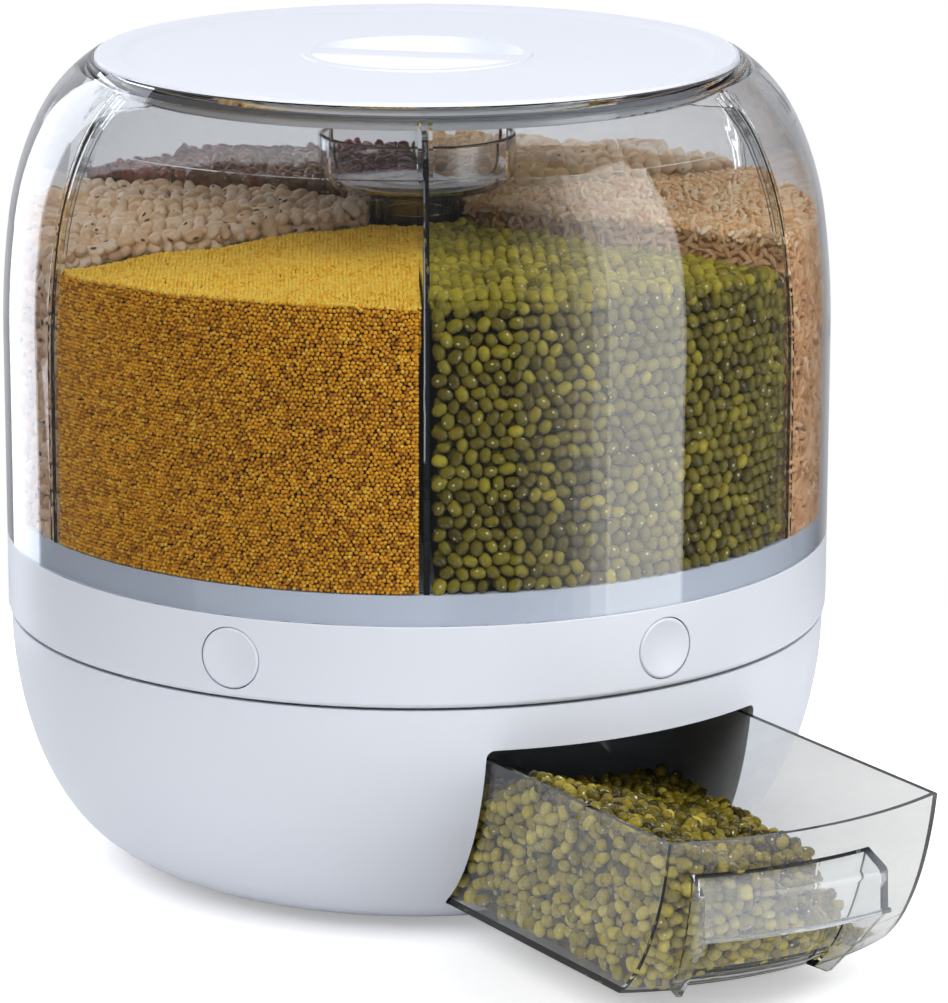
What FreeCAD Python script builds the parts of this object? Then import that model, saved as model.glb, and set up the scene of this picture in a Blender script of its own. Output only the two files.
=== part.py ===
import FreeCAD, Part
import math
import os

# Rotating grain dispenser: a clear six-compartment bucket on a white ring with six push buttons,
# turning on a round white base that holds a clear drawer. Millimetres, +Z up. The origin is on the
# turning axis, on the plane that the feet stand on. The drawer faces -Y and stands pulled out.

V = FreeCAD.Vector
UP = V(0, 0, 1)

# Driving sizes
BODY_RADIUS = 160.0
SEAM_HEIGHT = 99.4
RING_TOP = 130.9
COLLAR_TOP = 142.0
LID_TOP = 315.8
LID_RADIUS = 123.6
COMPARTMENTS = 6
SECTOR = 360.0 / COMPARTMENTS
FIRST_DIVIDER = 30.0
BUTTON_OFFSET = 3.5

# Base bowl
BOWL_RADIUS = 158.9
BOWL_RIM = SEAM_HEIGHT - 0.5
BOWL_WALL = 3.0
BOWL_ARCS = ((156.2, 17.45), (105.2, 13.7), (58.1, 58.85))
BOWL_UNDERSIDE = 1.1
FOOT_RADIUS = 7.5
FOOT_CIRCLE = 72.0
FOOT_RECESS = 1.2
FEET = ((0, 0), (30, FOOT_CIRCLE), (90, FOOT_CIRCLE), (150, FOOT_CIRCLE), (210, FOOT_CIRCLE),
        (270, FOOT_CIRCLE), (330, FOOT_CIRCLE))

# Drawer and its bay
OPENING_HALF = 59.2
OPENING_BOTTOM = 15.2
OPENING_TOP = 83.0
OPENING_CORNER = 3.0
DRAWER_HALF = 57.9
DRAWER_BOTTOM = 16.0
DRAWER_RIM = 79.0
DRAWER_BACK = 26.0
DRAWER_WALL = 2.2
DRAWER_OUT = 116.0
BAY_WALL = 2.2
BAY_TOP = 87.3
BAY_BACK = 28.0
BAY_CORNER = 9.0
GLIDE_HEIGHT = 0.6

# Drawer pull: a curved hood with two cheeks, in line with the bowl's own curve
PULL_START = -18.2
PULL_END = 8.3
PULL_RADIUS = 166.0
PULL_WALL = 2.4
PULL_TOP = 69.0
PULL_BROW = 61.5
PULL_EDGE = 45.5
PULL_LEG_RADIUS = 138.0
PULL_LIP = 1.6
SCOOP_RADIUS = 141.0
SCOOP_TOP = 24.0
SCOOP_FOOT = 127.0

# Deck of the base
DECK_UNDER = 87.5
DECK_TOP = 90.5
DECK_RADIUS = 155.4
DECK_RIM_TOP = 97.4
DROP_HALF_WIDTH = 29.0
DROP_NEAR = 83.0
DROP_FAR = 113.0
DROP_SKIRT = 82.0
BOSS_CIRCLE = 122.0
BOSS_AZIMUTHS = (62, 142, 218, 298)

# Turning bearing and pivot
BALL_RADIUS = 3.0
BALL_CIRCLE = 62.0
BALL_COUNT = 12
BALL_CENTRE = DECK_TOP + BALL_RADIUS + 0.05
RACE_UNDER = DECK_TOP + 2 * BALL_RADIUS + 0.1
POST_RADIUS = 6.0
POST_TOP = 118.2
BUSH_BORE = 6.05
BUSH_RADIUS = 8.5

# Button, gate and its spring, all in line with the button's axis
BUTTON_HEIGHT = 115.0
BUTTON_RADIUS = 11.5
BUTTON_TRAVEL = 10.0
BUTTON_FACE = 160.0
BUTTON_FLANGE = 13.2
BUTTON_INNER = 147.5
SLEEVE_BORE = 11.85
SLEEVE_RADIUS = 14.0
SLEEVE_END = 149.3
STEM_RADIUS = 2.0
STEM_END = 123.0
GATE_UNDER = 112.3
GATE_TOP = 114.9
GATE_HALF = 20.0
GATE_INNER = 88.0
GATE_OUTER = 127.5
LUG_INNER = 123.5
LUG_HALF = 5.0
OUTLET_INNER = 93.5
OUTLET_OUTER = 102.5
OUTLET_HALF = 17.0
SPRING_WIRE = 0.9
SPRING_MEAN_RADIUS = 4.2
SPRING_CURLS = 5
SPRING_INNER = 131.5
SPRING_OUTER = 156.0
SPRING_END_GAP = 0.2

# Guide plate under the gates, and the shelf of the ring that it is screwed to
GUIDE_UNDER = 109.0
GUIDE_TOP = 112.0
GUIDE_RADIUS = 152.0
SPOUT_END = 100.0
SPOUT_MARGIN = 1.5
SPOUT_WALL = 1.7
SPRING_WALL_INNER = 128.5
TRAY_SCREW_CIRCLE = 128.0
RING_SCREW_CIRCLE = 147.0
RING_WALL = 2.6
SHELF_INNER = 142.0
SHELF_THICKNESS = 2.5
SHELF_UNDER = GUIDE_UNDER - SHELF_THICKNESS
BUTTON_NOTCH_HALF = 15.5
SCREW_BOSS = 4.0

# Hopper tray
TRAY_RADIUS = 157.1
TRAY_PLATE = 3.4
TRAY_WALL = 2.2
FUNNEL_OUTER = 152.5
FUNNEL_INNER = 25.0
FUNNEL_FOOT = 115.2
FUNNEL_MARGIN = 3.2
FUNNEL_SEAT = 2.0
DIVIDER_GROOVE = 1.2

# Clear bucket
BUCKET_WALL = 2.2
SHOULDER_START = 208.9
SHOULDER_ARCS = ((336.7, 7.9), (117.1, 18.8), (58.7, 29.6))
REBATE_RADIUS = 123.95
REBATE_LEDGE = 312.2
NECK_RADIUS = 117.0
NECK_WALL = 2.4
NECK_END = 304.6
RIB_DEPTH = 3.2
RIB_THICKNESS = 1.4
DIVIDER_THICKNESS = 2.2
DIVIDER_TOP = 303.4
DIVIDER_ARCS = ((336.7, 7.9), (117.1, 18.8), (58.7, 13.0))
DIVIDER_GAP = 0.5

# Centre column with its cup
COLUMN_RADIUS = 17.4
COLUMN_WALL = 2.0
CUP_RADIUS = 38.5
CUP_BOTTOM = 263.0
CUP_TOP = 285.5
CUP_CORNER = 10.0

# Lid
LID_UNDER = REBATE_LEDGE + 0.2
LID_DISH = 1.4
LID_SKIN = 2.2
WELL_RADIUS = 41.0
WELL_FLOOR = 308.6
GRIP_AZIMUTH = 45.0
GRIP_HALF = 8.0
PLUG_RADIUS = 115.6
PLUG_WALL = 2.2
PLUG_END = 304.0
SEAL_RADIUS = 116.7


def to_plane(point, plane):
    if plane == "xy":
        return V(point[0], point[1], 0)
    return V(point[0], 0, point[1])


def tangent_arcs(start, heading, side, runs, inset=0.0):
    """Arcs that follow each other smoothly: each run is (radius, turn in degrees).

    Side is +1 for a turn to the left and -1 to the right. An inset gives the parallel curve.
    """
    arcs = []
    angle = math.radians(heading)
    centre_side = (-math.sin(angle) * side, math.cos(angle) * side)
    x = start[0] + centre_side[0] * inset
    y = start[1] + centre_side[1] * inset
    for radius, turn in runs:
        radius = radius - inset
        cx = x - math.sin(angle) * side * radius
        cy = y + math.cos(angle) * side * radius
        points = []
        for share in (0.0, 0.5, 1.0):
            swing = angle + side * math.radians(turn) * share
            points.append((cx + math.sin(swing) * side * radius, cy - math.cos(swing) * side * radius))
        arcs.append(tuple(points))
        angle += side * math.radians(turn)
        x, y = points[2]
    return arcs


def backwards(arcs):
    return [(c, b, a) for a, b, c in reversed(arcs)]


def corner_arc(before, corner, after, radius):
    """The rounded corner between two straight stretches, as a three point arc."""
    to_before = V(before[0] - corner[0], before[1] - corner[1], 0).normalize()
    to_after = V(after[0] - corner[0], after[1] - corner[1], 0).normalize()
    half = to_before.getAngle(to_after) / 2
    reach = radius / math.tan(half)
    middle = (to_before + to_after).normalize()
    depth = radius / math.sin(half) - radius
    tip = V(corner[0], corner[1], 0)
    points = (tip + to_before * reach, tip + middle * depth, tip + to_after * reach)
    return tuple((p.x, p.y) for p in points)


def outline(items, plane="xz"):
    """Face within a closed outline.

    A pair is a sharp corner, a triple is a corner with its radius, and a list holds arcs.
    """
    def first(item):
        return item[0][0] if isinstance(item, list) else item[:2]

    def last(item):
        return item[-1][2] if isinstance(item, list) else item[:2]

    spans = []
    count = len(items)
    for index, item in enumerate(items):
        if isinstance(item, list):
            spans.append(item)
        elif len(item) == 3:
            before = last(items[index - 1])
            after = first(items[(index + 1) % count])
            spans.append([corner_arc(before, item[:2], after, item[2])])
        else:
            spans.append([(item, None, item)])
    edges = []
    for index, span in enumerate(spans):
        for a, b, c in span:
            if b is not None:
                arc = Part.Arc(to_plane(a, plane), to_plane(b, plane), to_plane(c, plane))
                edges.append(arc.toShape())
        leave = to_plane(span[-1][2], plane)
        arrive = to_plane(spans[(index + 1) % count][0][0], plane)
        if leave.distanceToPoint(arrive) > 1e-6:
            edges.append(Part.LineSegment(leave, arrive).toShape())
    return Part.Face(Part.Wire(edges))


def turned(items, sweep=360.0, start=0.0):
    """Solid turned about the vertical axis from a (radius, height) outline."""
    solid = outline(items).revolve(V(0, 0, 0), UP, sweep)
    return turn_to(solid, start - 90.0)


def turn_to(shape, azimuth):
    """Turns a shape from azimuth 0, which is -Y, to another azimuth."""
    placed = shape.copy()
    placed.rotate(V(0, 0, 0), UP, azimuth)
    return placed


def ring(inner, outer, low, high):
    disc = Part.makeCylinder(outer, high - low, V(0, 0, low))
    if inner <= 0:
        return disc
    return disc.cut(Part.makeCylinder(inner, high - low, V(0, 0, low)))


def block(near, far, half, low, high, side=0.0):
    """Box at azimuth 0, between two distances from the axis."""
    return Part.makeBox(2 * half, far - near, high - low, V(side - half, -far, low))


def rod(radius, near, far, height, side=0.0):
    """Radial cylinder at azimuth 0."""
    return Part.makeCylinder(radius, far - near, V(side, -near, height), V(0, -1, 0))


def at(azimuth, distance, height):
    angle = math.radians(azimuth)
    return V(distance * math.sin(angle), -distance * math.cos(angle), height)


def upright(radius, azimuth, distance, low, high):
    return Part.makeCylinder(radius, high - low, at(azimuth, distance, low))


def fused(shapes):
    whole = shapes[0].multiFuse(shapes[1:]) if len(shapes) > 1 else shapes[0]
    return whole.removeSplitter()


def rounded_box(half_x, y_low, y_high, low, high, corner):
    """Upright box whose four vertical edges are rounded."""
    corners = [
        (-half_x, y_low, corner),
        (half_x, y_low, corner),
        (half_x, y_high, corner),
        (-half_x, y_high, corner),
    ]
    solid = outline(corners, "xy").extrude(V(0, 0, high - low))
    solid.translate(V(0, 0, low))
    return solid


def divider_azimuths():
    return [FIRST_DIVIDER + SECTOR * index for index in range(COMPARTMENTS)]


def button_azimuths():
    return [BUTTON_OFFSET + SECTOR * index for index in range(COMPARTMENTS)]


def bowl_solid(inset=0.0, rim=BOWL_RIM):
    """The bowl's outer form as a full solid, or the parallel form inside it."""
    arcs = tangent_arcs((BOWL_RADIUS, BOWL_RIM), -90, -1, BOWL_ARCS, inset)
    floor = arcs[-1][2][1]
    top = arcs[0][0]
    items = [(0, floor), (0, rim)]
    if rim > BOWL_RIM:
        items.append((top[0], rim))
    items.append(arcs)
    return turned(items)


def base_bowl():
    shell = bowl_solid().cut(bowl_solid(BOWL_WALL, BOWL_RIM + 1))
    doorway = outline(
        [
            (-OPENING_HALF, OPENING_BOTTOM, OPENING_CORNER),
            (OPENING_HALF, OPENING_BOTTOM, OPENING_CORNER),
            (OPENING_HALF, OPENING_TOP, OPENING_CORNER),
            (-OPENING_HALF, OPENING_TOP, OPENING_CORNER),
        ]
    ).extrude(V(0, -BODY_RADIUS, 0))
    shell = shell.cut(doorway)
    posts = []
    for azimuth in BOSS_AZIMUTHS:
        boss = upright(4.5, azimuth, BOSS_CIRCLE, BOWL_UNDERSIDE, DECK_UNDER)
        web = turn_to(block(BOSS_CIRCLE, BODY_RADIUS, 0.9, BOWL_UNDERSIDE, DECK_UNDER - 12), azimuth)
        posts.append(boss.common(bowl_solid(1.0)))
        posts.append(web.common(bowl_solid(1.0)))
    floor_inside = BOWL_UNDERSIDE + BOWL_WALL
    bay_floor = OPENING_BOTTOM - BAY_WALL
    for side in (-38.0, 0.0, 38.0):
        height = bay_floor - floor_inside + 0.5
        posts.append(Part.makeBox(1.8, 104, height, V(side - 0.9, -82, floor_inside - 0.5)))
    shell = fused([shell] + posts)
    for azimuth in BOSS_AZIMUTHS:
        shell = shell.cut(upright(1.5, azimuth, BOSS_CIRCLE, DECK_UNDER - 14, DECK_UNDER))
    for azimuth, distance in FEET:
        shell = shell.cut(upright(FOOT_RADIUS + 0.2, azimuth, distance, 0, BOWL_UNDERSIDE + FOOT_RECESS))
    return shell


def drawer_bay():
    """The lined bay that the drawer runs in: floor with glides, two sides and a back."""
    outer = rounded_box(OPENING_HALF + BAY_WALL, -200, BAY_BACK + BAY_WALL, OPENING_BOTTOM - BAY_WALL,
                        BAY_TOP, BAY_CORNER + BAY_WALL)
    inner = rounded_box(OPENING_HALF, -230, BAY_BACK, OPENING_BOTTOM, BAY_TOP + 1, BAY_CORNER)
    lining = outer.cut(inner)
    glides = []
    for x in (-44, 44):
        glides.append(Part.makeBox(4, 220, GLIDE_HEIGHT + 0.4, V(x - 2, -200, OPENING_BOTTOM - 0.4)))
    return fused([lining] + glides).common(bowl_solid(BOWL_WALL + 0.1))


def base_deck():
    plate = ring(0, DECK_RADIUS, DECK_UNDER, DECK_TOP)
    rim = ring(DECK_RADIUS - 2.2, DECK_RADIUS, DECK_UNDER, DECK_RIM_TOP)
    races = [ring(BALL_CIRCLE - 6.0, BALL_CIRCLE - 4.4, DECK_TOP - 0.5, DECK_TOP + 4.2),
             ring(BALL_CIRCLE + 4.4, BALL_CIRCLE + 6.0, DECK_TOP - 0.5, DECK_TOP + 4.2)]
    hub = ring(0, 13.0, DECK_TOP - 0.5, DECK_TOP + 4.5)
    skirt = block(DROP_NEAR - 1.8, DROP_FAR + 1.8, DROP_HALF_WIDTH + 1.8, DROP_SKIRT, DECK_UNDER + 0.5)
    lip = block(DROP_NEAR - 1.8, DROP_FAR + 1.8, DROP_HALF_WIDTH + 1.8, DECK_TOP - 0.5, DECK_TOP + 2.5)
    ribs = []
    for index in range(12):
        azimuth = 15 + 30 * index
        if abs((azimuth + 180) % 360 - 180) > 20:
            rib = block(BALL_CIRCLE + 5.5, DECK_RADIUS - 1, 0.9, DECK_TOP - 0.5, DECK_TOP + 3)
            ribs.append(turn_to(rib, azimuth))
    deck = fused([plate, rim, hub, skirt, lip] + races + ribs)
    deck = deck.cut(block(DROP_NEAR, DROP_FAR, DROP_HALF_WIDTH, DROP_SKIRT - 1, DECK_TOP + 5))
    deck = deck.cut(Part.makeCylinder(POST_RADIUS + 0.05, 20, V(0, 0, DECK_UNDER - 5)))
    for azimuth in BOSS_AZIMUTHS:
        deck = deck.cut(upright(2.1, azimuth, BOSS_CIRCLE, DECK_UNDER - 1, DECK_TOP + 1))
    return deck


def screw(head_radius, head_height, shank_radius, length):
    """Pan head screw standing on its head's underside, shank downwards."""
    profile = [
        (0, -length),
        (shank_radius, -length),
        (shank_radius, 0),
        (head_radius, 0),
        (head_radius, head_height, head_height * 0.45),
        (0, head_height),
    ]
    solid = turned(profile)
    slot_corner = V(-head_radius * 0.55, -0.35, head_height * 0.55)
    slot = Part.makeBox(head_radius * 1.1, 0.7, head_height, slot_corner)
    cross = slot.copy()
    cross.rotate(V(0, 0, 0), UP, 90)
    return solid.cut(slot).cut(cross)


def deck_screws():
    group = []
    for azimuth in BOSS_AZIMUTHS:
        piece = screw(3.6, 2.2, 1.45, 12)
        piece.translate(at(azimuth, BOSS_CIRCLE, DECK_TOP))
        group.append(piece)
    return Part.makeCompound(group)


def pivot_post():
    return turned(
        [
            (1.9, POST_TOP - 14),
            (1.9, POST_TOP),
            (POST_RADIUS, POST_TOP),
            (POST_RADIUS, DECK_UNDER),
            (14.0, DECK_UNDER),
            (14.0, DECK_UNDER - 2.2, 1.0),
            (0, DECK_UNDER - 2.2),
            (0, POST_TOP - 14),
        ]
    )


def retaining_washer():
    return ring(2.1, 11.5, POST_TOP, POST_TOP + 1.5)


def retaining_screw():
    piece = screw(4.2, 2.6, 1.85, 13)
    piece.translate(V(0, 0, POST_TOP + 1.5))
    return piece


def pivot_bush():
    flange_under = POST_TOP - 1.7
    return turned(
        [
            (BUSH_BORE, SEAM_HEIGHT - 1.5),
            (BUSH_RADIUS, SEAM_HEIGHT - 1.5),
            (BUSH_RADIUS, flange_under),
            (11.0, flange_under),
            (11.0, flange_under + 1.5),
            (BUSH_BORE, flange_under + 1.5),
        ]
    )


def ball_cage():
    cage = ring(BALL_CIRCLE - 3.9, BALL_CIRCLE + 3.9, BALL_CENTRE - 1.2, BALL_CENTRE + 1.2)
    for index in range(BALL_COUNT):
        pocket = upright(BALL_RADIUS + 0.25, index * 360.0 / BALL_COUNT, BALL_CIRCLE, DECK_TOP, RACE_UNDER)
        cage = cage.cut(pocket)
    return cage


def bearing_balls():
    balls = []
    for index in range(BALL_COUNT):
        balls.append(Part.makeSphere(BALL_RADIUS, at(index * 360.0 / BALL_COUNT, BALL_CIRCLE, BALL_CENTRE)))
    return Part.makeCompound(balls)


def rubber_feet():
    pads = []
    for azimuth, distance in FEET:
        pad = turned([(0, 0), (FOOT_RADIUS, 0, 0.6), (FOOT_RADIUS, BOWL_UNDERSIDE + FOOT_RECESS),
                      (0, BOWL_UNDERSIDE + FOOT_RECESS)])
        pad.translate(at(azimuth, distance, 0))
        pads.append(pad)
    return Part.makeCompound(pads)


def button_ring():
    inner = BODY_RADIUS - RING_WALL
    band = turned(
        [
            (inner, SEAM_HEIGHT + 0.5),
            (BODY_RADIUS, SEAM_HEIGHT + 0.5, 2.2),
            (BODY_RADIUS, RING_TOP, 0.6),
            (inner, RING_TOP),
        ]
    )
    shelf = ring(SHELF_INNER, inner + 0.5, SHELF_UNDER, GUIDE_UNDER)
    sleeves = []
    for azimuth in button_azimuths():
        gap = block(SHELF_INNER - 6, inner - 0.1, BUTTON_NOTCH_HALF, SHELF_UNDER - 1, GUIDE_UNDER + 1)
        shelf = shelf.cut(turn_to(gap, azimuth))
        sleeve = rod(SLEEVE_RADIUS, SLEEVE_END, BODY_RADIUS - 1.0, BUTTON_HEIGHT)
        sleeves.append(turn_to(sleeve, azimuth))
    whole = fused([band, shelf] + sleeves)
    for azimuth in button_azimuths():
        whole = whole.cut(turn_to(rod(SLEEVE_BORE, SLEEVE_END - 1, BODY_RADIUS + 2, BUTTON_HEIGHT), azimuth))
    for azimuth in divider_azimuths():
        whole = whole.cut(upright(1.7, azimuth, RING_SCREW_CIRCLE, SHELF_UNDER - 1, GUIDE_UNDER + 1))
    return whole


def button_cap():
    """Round push button with a dished face, a stop flange and the stem that drives the gate."""
    face = BUTTON_FACE
    dish = [((0, face - 1.2), (4.6, face - 1.0), (BUTTON_RADIUS - 2.2, face - 0.25))]
    profile = [
        dish,
        (BUTTON_RADIUS, face + 0.1, 1.0),
        (BUTTON_RADIUS, SLEEVE_END - 0.2),
        (BUTTON_FLANGE, SLEEVE_END - 0.2),
        (BUTTON_FLANGE, BUTTON_INNER),
        (BUTTON_RADIUS - 2.0, BUTTON_INNER),
        (BUTTON_RADIUS - 2.0, SPRING_OUTER, 1.5),
        (STEM_RADIUS, SPRING_OUTER),
        (STEM_RADIUS, STEM_END, 0.5),
        (0, STEM_END),
    ]
    solid = outline(profile).revolve(V(0, 0, 0), UP, 360)
    solid.rotate(V(0, 0, 0), V(1, 0, 0), 90)
    solid.translate(V(0, 0, BUTTON_HEIGHT))
    return solid


def gate_slide():
    """Sliding gate: a flat blade with a window, and a lug that holds the button's stem."""
    blade = block(GATE_INNER, GATE_OUTER, GATE_HALF, GATE_UNDER, GATE_TOP)
    lug = block(LUG_INNER, GATE_OUTER, LUG_HALF, GATE_UNDER, BUTTON_HEIGHT + 4.0)
    gate = fused([blade, lug])
    window = block(OUTLET_INNER + BUTTON_TRAVEL, OUTLET_OUTER + BUTTON_TRAVEL, OUTLET_HALF,
                   GATE_UNDER - 1, GATE_TOP + 1)
    return gate.cut(window).cut(rod(STEM_RADIUS, STEM_END - 6, GATE_OUTER + 3, BUTTON_HEIGHT))


def spring_pitch():
    return (SPRING_OUTER - SPRING_INNER - SPRING_WIRE - 2 * SPRING_END_GAP) / SPRING_CURLS


def gate_spring():
    """Compression spring round the stem: one unbroken wire of biarc half turns."""
    pitch = spring_pitch()
    slope = pitch / (2 * math.pi)
    steps = SPRING_CURLS * 4
    points = []
    tangents = []
    for index in range(steps + 1):
        angle = index * math.pi / 2
        reach = SPRING_INNER + SPRING_WIRE / 2 + SPRING_END_GAP + pitch * index / 4
        points.append(V(SPRING_MEAN_RADIUS * math.cos(angle), -reach,
                        BUTTON_HEIGHT + SPRING_MEAN_RADIUS * math.sin(angle)))
        across = V(-SPRING_MEAN_RADIUS * math.sin(angle), 0, SPRING_MEAN_RADIUS * math.cos(angle))
        tangents.append((across - V(0, slope, 0)).normalize())
    edges = []
    for index in range(steps):
        edges.extend(biarc(points[index], tangents[index], points[index + 1], tangents[index + 1]))
    path = Part.Wire(edges)
    circle = Part.Wire(Part.makeCircle(SPRING_WIRE / 2, points[0], tangents[0]))
    return path.makePipeShell([circle], True, False)


def biarc(start, start_way, end, end_way):
    """Two arcs that join smoothly between two points with given directions."""
    span = end - start
    ways = start_way + end_way
    a = 2 * (1 - start_way.dot(end_way))
    b = 2 * span.dot(ways)
    c = -span.dot(span)
    reach = (-b + math.sqrt(b * b - 4 * a * c)) / (2 * a)
    knee_start = start + start_way * reach
    knee_end = end - end_way * reach
    joint = (knee_start + knee_end) * 0.5
    return [tangent_arc(start, start_way, joint), tangent_arc(end, end_way * -1, joint, True)]


def tangent_arc(start, way, end, flip=False):
    chord = end - start
    across = chord - way * chord.dot(way)
    across.normalize()
    radius = chord.dot(chord) / (2 * across.dot(chord))
    centre = start + across * radius
    middle = centre + ((start - centre) + (end - centre)).normalize() * radius
    if flip:
        return Part.Arc(end, middle, start).toShape()
    return Part.Arc(start, middle, end).toShape()


def spring_gap():
    """Least gap between neighbouring curls of the gate spring."""
    pitch = spring_pitch()
    least = 1e9
    samples = 72
    for one in range(samples):
        for other in range(one + samples // 2, one + 2 * samples):
            turn = 2 * math.pi * (other - one) / samples
            across = 2 * SPRING_MEAN_RADIUS * math.sin(turn / 2)
            along = pitch * (other - one) / samples
            least = min(least, math.hypot(across, along))
    return least - SPRING_WIRE


def funnel(inset, low, high):
    """Loft from a compartment's floor outline down to its outlet. The inset is measured inwards."""
    def corner(azimuth, distance, shift):
        ray = at(azimuth, distance, 0)
        side = at(azimuth - 90 if azimuth > 0 else azimuth + 90, shift, 0)
        return ray + side

    half = SECTOR / 2
    far = FUNNEL_OUTER - inset
    near = FUNNEL_INNER + inset
    shift = FUNNEL_MARGIN + inset
    inner_right = corner(half, near, shift)
    inner_left = corner(-half, near, shift)
    reach = math.sqrt(far * far - shift * shift)
    outer_right = corner(half, reach, shift)
    outer_left = corner(-half, reach, shift)
    top = Part.Wire(
        [
            Part.LineSegment(inner_left, inner_right).toShape(),
            Part.LineSegment(inner_right, outer_right).toShape(),
            Part.Arc(outer_right, at(0, far, 0), outer_left).toShape(),
            Part.LineSegment(outer_left, inner_left).toShape(),
        ]
    )
    top.translate(V(0, 0, high))
    middle_way = math.radians(BUTTON_OFFSET)
    wide = OUTLET_HALF - inset
    foot_points = []
    for distance, side in ((OUTLET_INNER + inset, -wide), (OUTLET_INNER + inset, wide),
                           (OUTLET_OUTER - inset, wide), (OUTLET_OUTER - inset, -wide)):
        local = V(side, -distance, low)
        foot_points.append(V(local.x * math.cos(middle_way) - local.y * math.sin(middle_way),
                             local.x * math.sin(middle_way) + local.y * math.cos(middle_way), low))
    foot = Part.makePolygon(foot_points + [foot_points[0]])
    return Part.makeLoft([foot, top], True, True)


def funnel_shell():
    """One funnel: four sloping walls of even thickness that hang below the tray's plate."""
    body = funnel(-TRAY_WALL, FUNNEL_FOOT, COLLAR_TOP - FUNNEL_SEAT)
    return body.cut(funnel(0.0, FUNNEL_FOOT, COLLAR_TOP))


def hopper_tray():
    """Floor of the bucket: a plate with six seats for the funnels, a collar and a centre hub."""
    plate = ring(0, TRAY_RADIUS, COLLAR_TOP - TRAY_PLATE, COLLAR_TOP)
    collar = ring(TRAY_RADIUS - 2.2, TRAY_RADIUS, RING_TOP - 1.5, COLLAR_TOP)
    hub = ring(0, COLUMN_RADIUS - COLUMN_WALL - 0.3, COLLAR_TOP - 0.5, COLLAR_TOP + 6)
    pieces = [plate, collar, hub]
    for azimuth in divider_azimuths():
        pieces.append(upright(SCREW_BOSS, azimuth, TRAY_SCREW_CIRCLE, GUIDE_TOP, COLLAR_TOP - 1))
    tray = fused(pieces)
    for index in range(COMPARTMENTS):
        seat = funnel(-TRAY_WALL, FUNNEL_FOOT, COLLAR_TOP - FUNNEL_SEAT)
        mouth = funnel(0.0, FUNNEL_FOOT, COLLAR_TOP)
        tray = tray.cut(turn_to(seat, SECTOR * index)).cut(turn_to(mouth, SECTOR * index))
    for azimuth in divider_azimuths():
        groove = block(COLUMN_RADIUS - 1, TRAY_RADIUS - 3, DIVIDER_THICKNESS / 2 + 0.2,
                       COLLAR_TOP - DIVIDER_GROOVE, COLLAR_TOP + 8)
        tray = tray.cut(turn_to(groove, azimuth))
        tray = tray.cut(upright(1.3, azimuth, TRAY_SCREW_CIRCLE, GUIDE_TOP - 1, GUIDE_TOP + 12))
    return tray


def spout_block(wall, low, high):
    margin = SPOUT_MARGIN + wall
    return block(OUTLET_INNER - margin, OUTLET_OUTER + margin, OUTLET_HALF + margin, low, high)


def outlet_spout():
    """Short chute bonded under a window of the guide plate, with a flange round its mouth."""
    chute = spout_block(SPOUT_WALL, SPOUT_END, GUIDE_UNDER)
    flange = spout_block(SPOUT_WALL + 1.6, GUIDE_UNDER - 1.6, GUIDE_UNDER)
    return fused([chute, flange]).cut(spout_block(0.0, SPOUT_END - 1, GUIDE_UNDER + 1))


def gate_guide_plate():
    """Plate under the gates: guide ribs, spring walls, seats for the spouts, bearing race and pivot hub."""
    plate = ring(0, GUIDE_RADIUS, GUIDE_UNDER, GUIDE_TOP)
    race = ring(BALL_CIRCLE - 4.0, BALL_CIRCLE + 4.0, RACE_UNDER, GUIDE_UNDER + 0.5)
    hub = ring(0, BUSH_RADIUS + 3.0, SEAM_HEIGHT - 1.5, POST_TOP - 1.7)
    pieces = [plate, race, hub]
    for azimuth in button_azimuths():
        for side in (-1, 1):
            rib = block(GATE_INNER - BUTTON_TRAVEL - 2, GATE_OUTER, 1.0, GUIDE_TOP - 0.5, GATE_TOP + 0.2,
                        side * (GATE_HALF + 1.3))
            pieces.append(turn_to(rib, azimuth))
        wall = block(SPRING_WALL_INNER, SPRING_INNER, 8.0, GUIDE_TOP - 0.5, BUTTON_HEIGHT + 6)
        pieces.append(turn_to(wall, azimuth))
    for azimuth in divider_azimuths():
        pieces.append(upright(SCREW_BOSS, azimuth, RING_SCREW_CIRCLE, GUIDE_TOP - 0.5, GUIDE_TOP + 7))
    guide = fused(pieces)
    guide = guide.cut(Part.makeCylinder(BUSH_RADIUS, 40, V(0, 0, SPOUT_END - 10)))
    for azimuth in button_azimuths():
        window = spout_block(0.0, GUIDE_UNDER - 1, GUIDE_TOP + 1)
        notch = block(SPRING_INNER + 4, GUIDE_RADIUS + 1, BUTTON_NOTCH_HALF, GUIDE_UNDER - 1, GUIDE_TOP + 1)
        guide = guide.cut(turn_to(window, azimuth)).cut(turn_to(notch, azimuth))
        bore = rod(STEM_RADIUS + 0.08, SPRING_WALL_INNER - 1, SPRING_INNER + 1, BUTTON_HEIGHT)
        trough = block(SPRING_INNER, SPRING_INNER + 5, SPRING_MEAN_RADIUS + 1.2,
                       GUIDE_UNDER - 1, GUIDE_TOP + 1)
        guide = guide.cut(turn_to(bore, azimuth)).cut(turn_to(trough, azimuth))
    for azimuth in divider_azimuths():
        guide = guide.cut(upright(1.7, azimuth, TRAY_SCREW_CIRCLE, GUIDE_UNDER - 1, GUIDE_TOP + 1))
        guide = guide.cut(upright(1.3, azimuth, RING_SCREW_CIRCLE, GUIDE_UNDER - 1, GUIDE_TOP + 6))
    return guide


def screws_from_below(distance, underside, length):
    group = []
    for azimuth in divider_azimuths():
        piece = screw(3.2, 1.9, 1.25, length)
        piece.rotate(V(0, 0, 0), V(1, 0, 0), 180)
        piece.translate(at(azimuth, distance, underside))
        group.append(piece)
    return Part.makeCompound(group)


def bucket_arcs(inset=0.0, arcs=SHOULDER_ARCS):
    return tangent_arcs((BODY_RADIUS, SHOULDER_START), 90, 1, arcs, inset)


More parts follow.
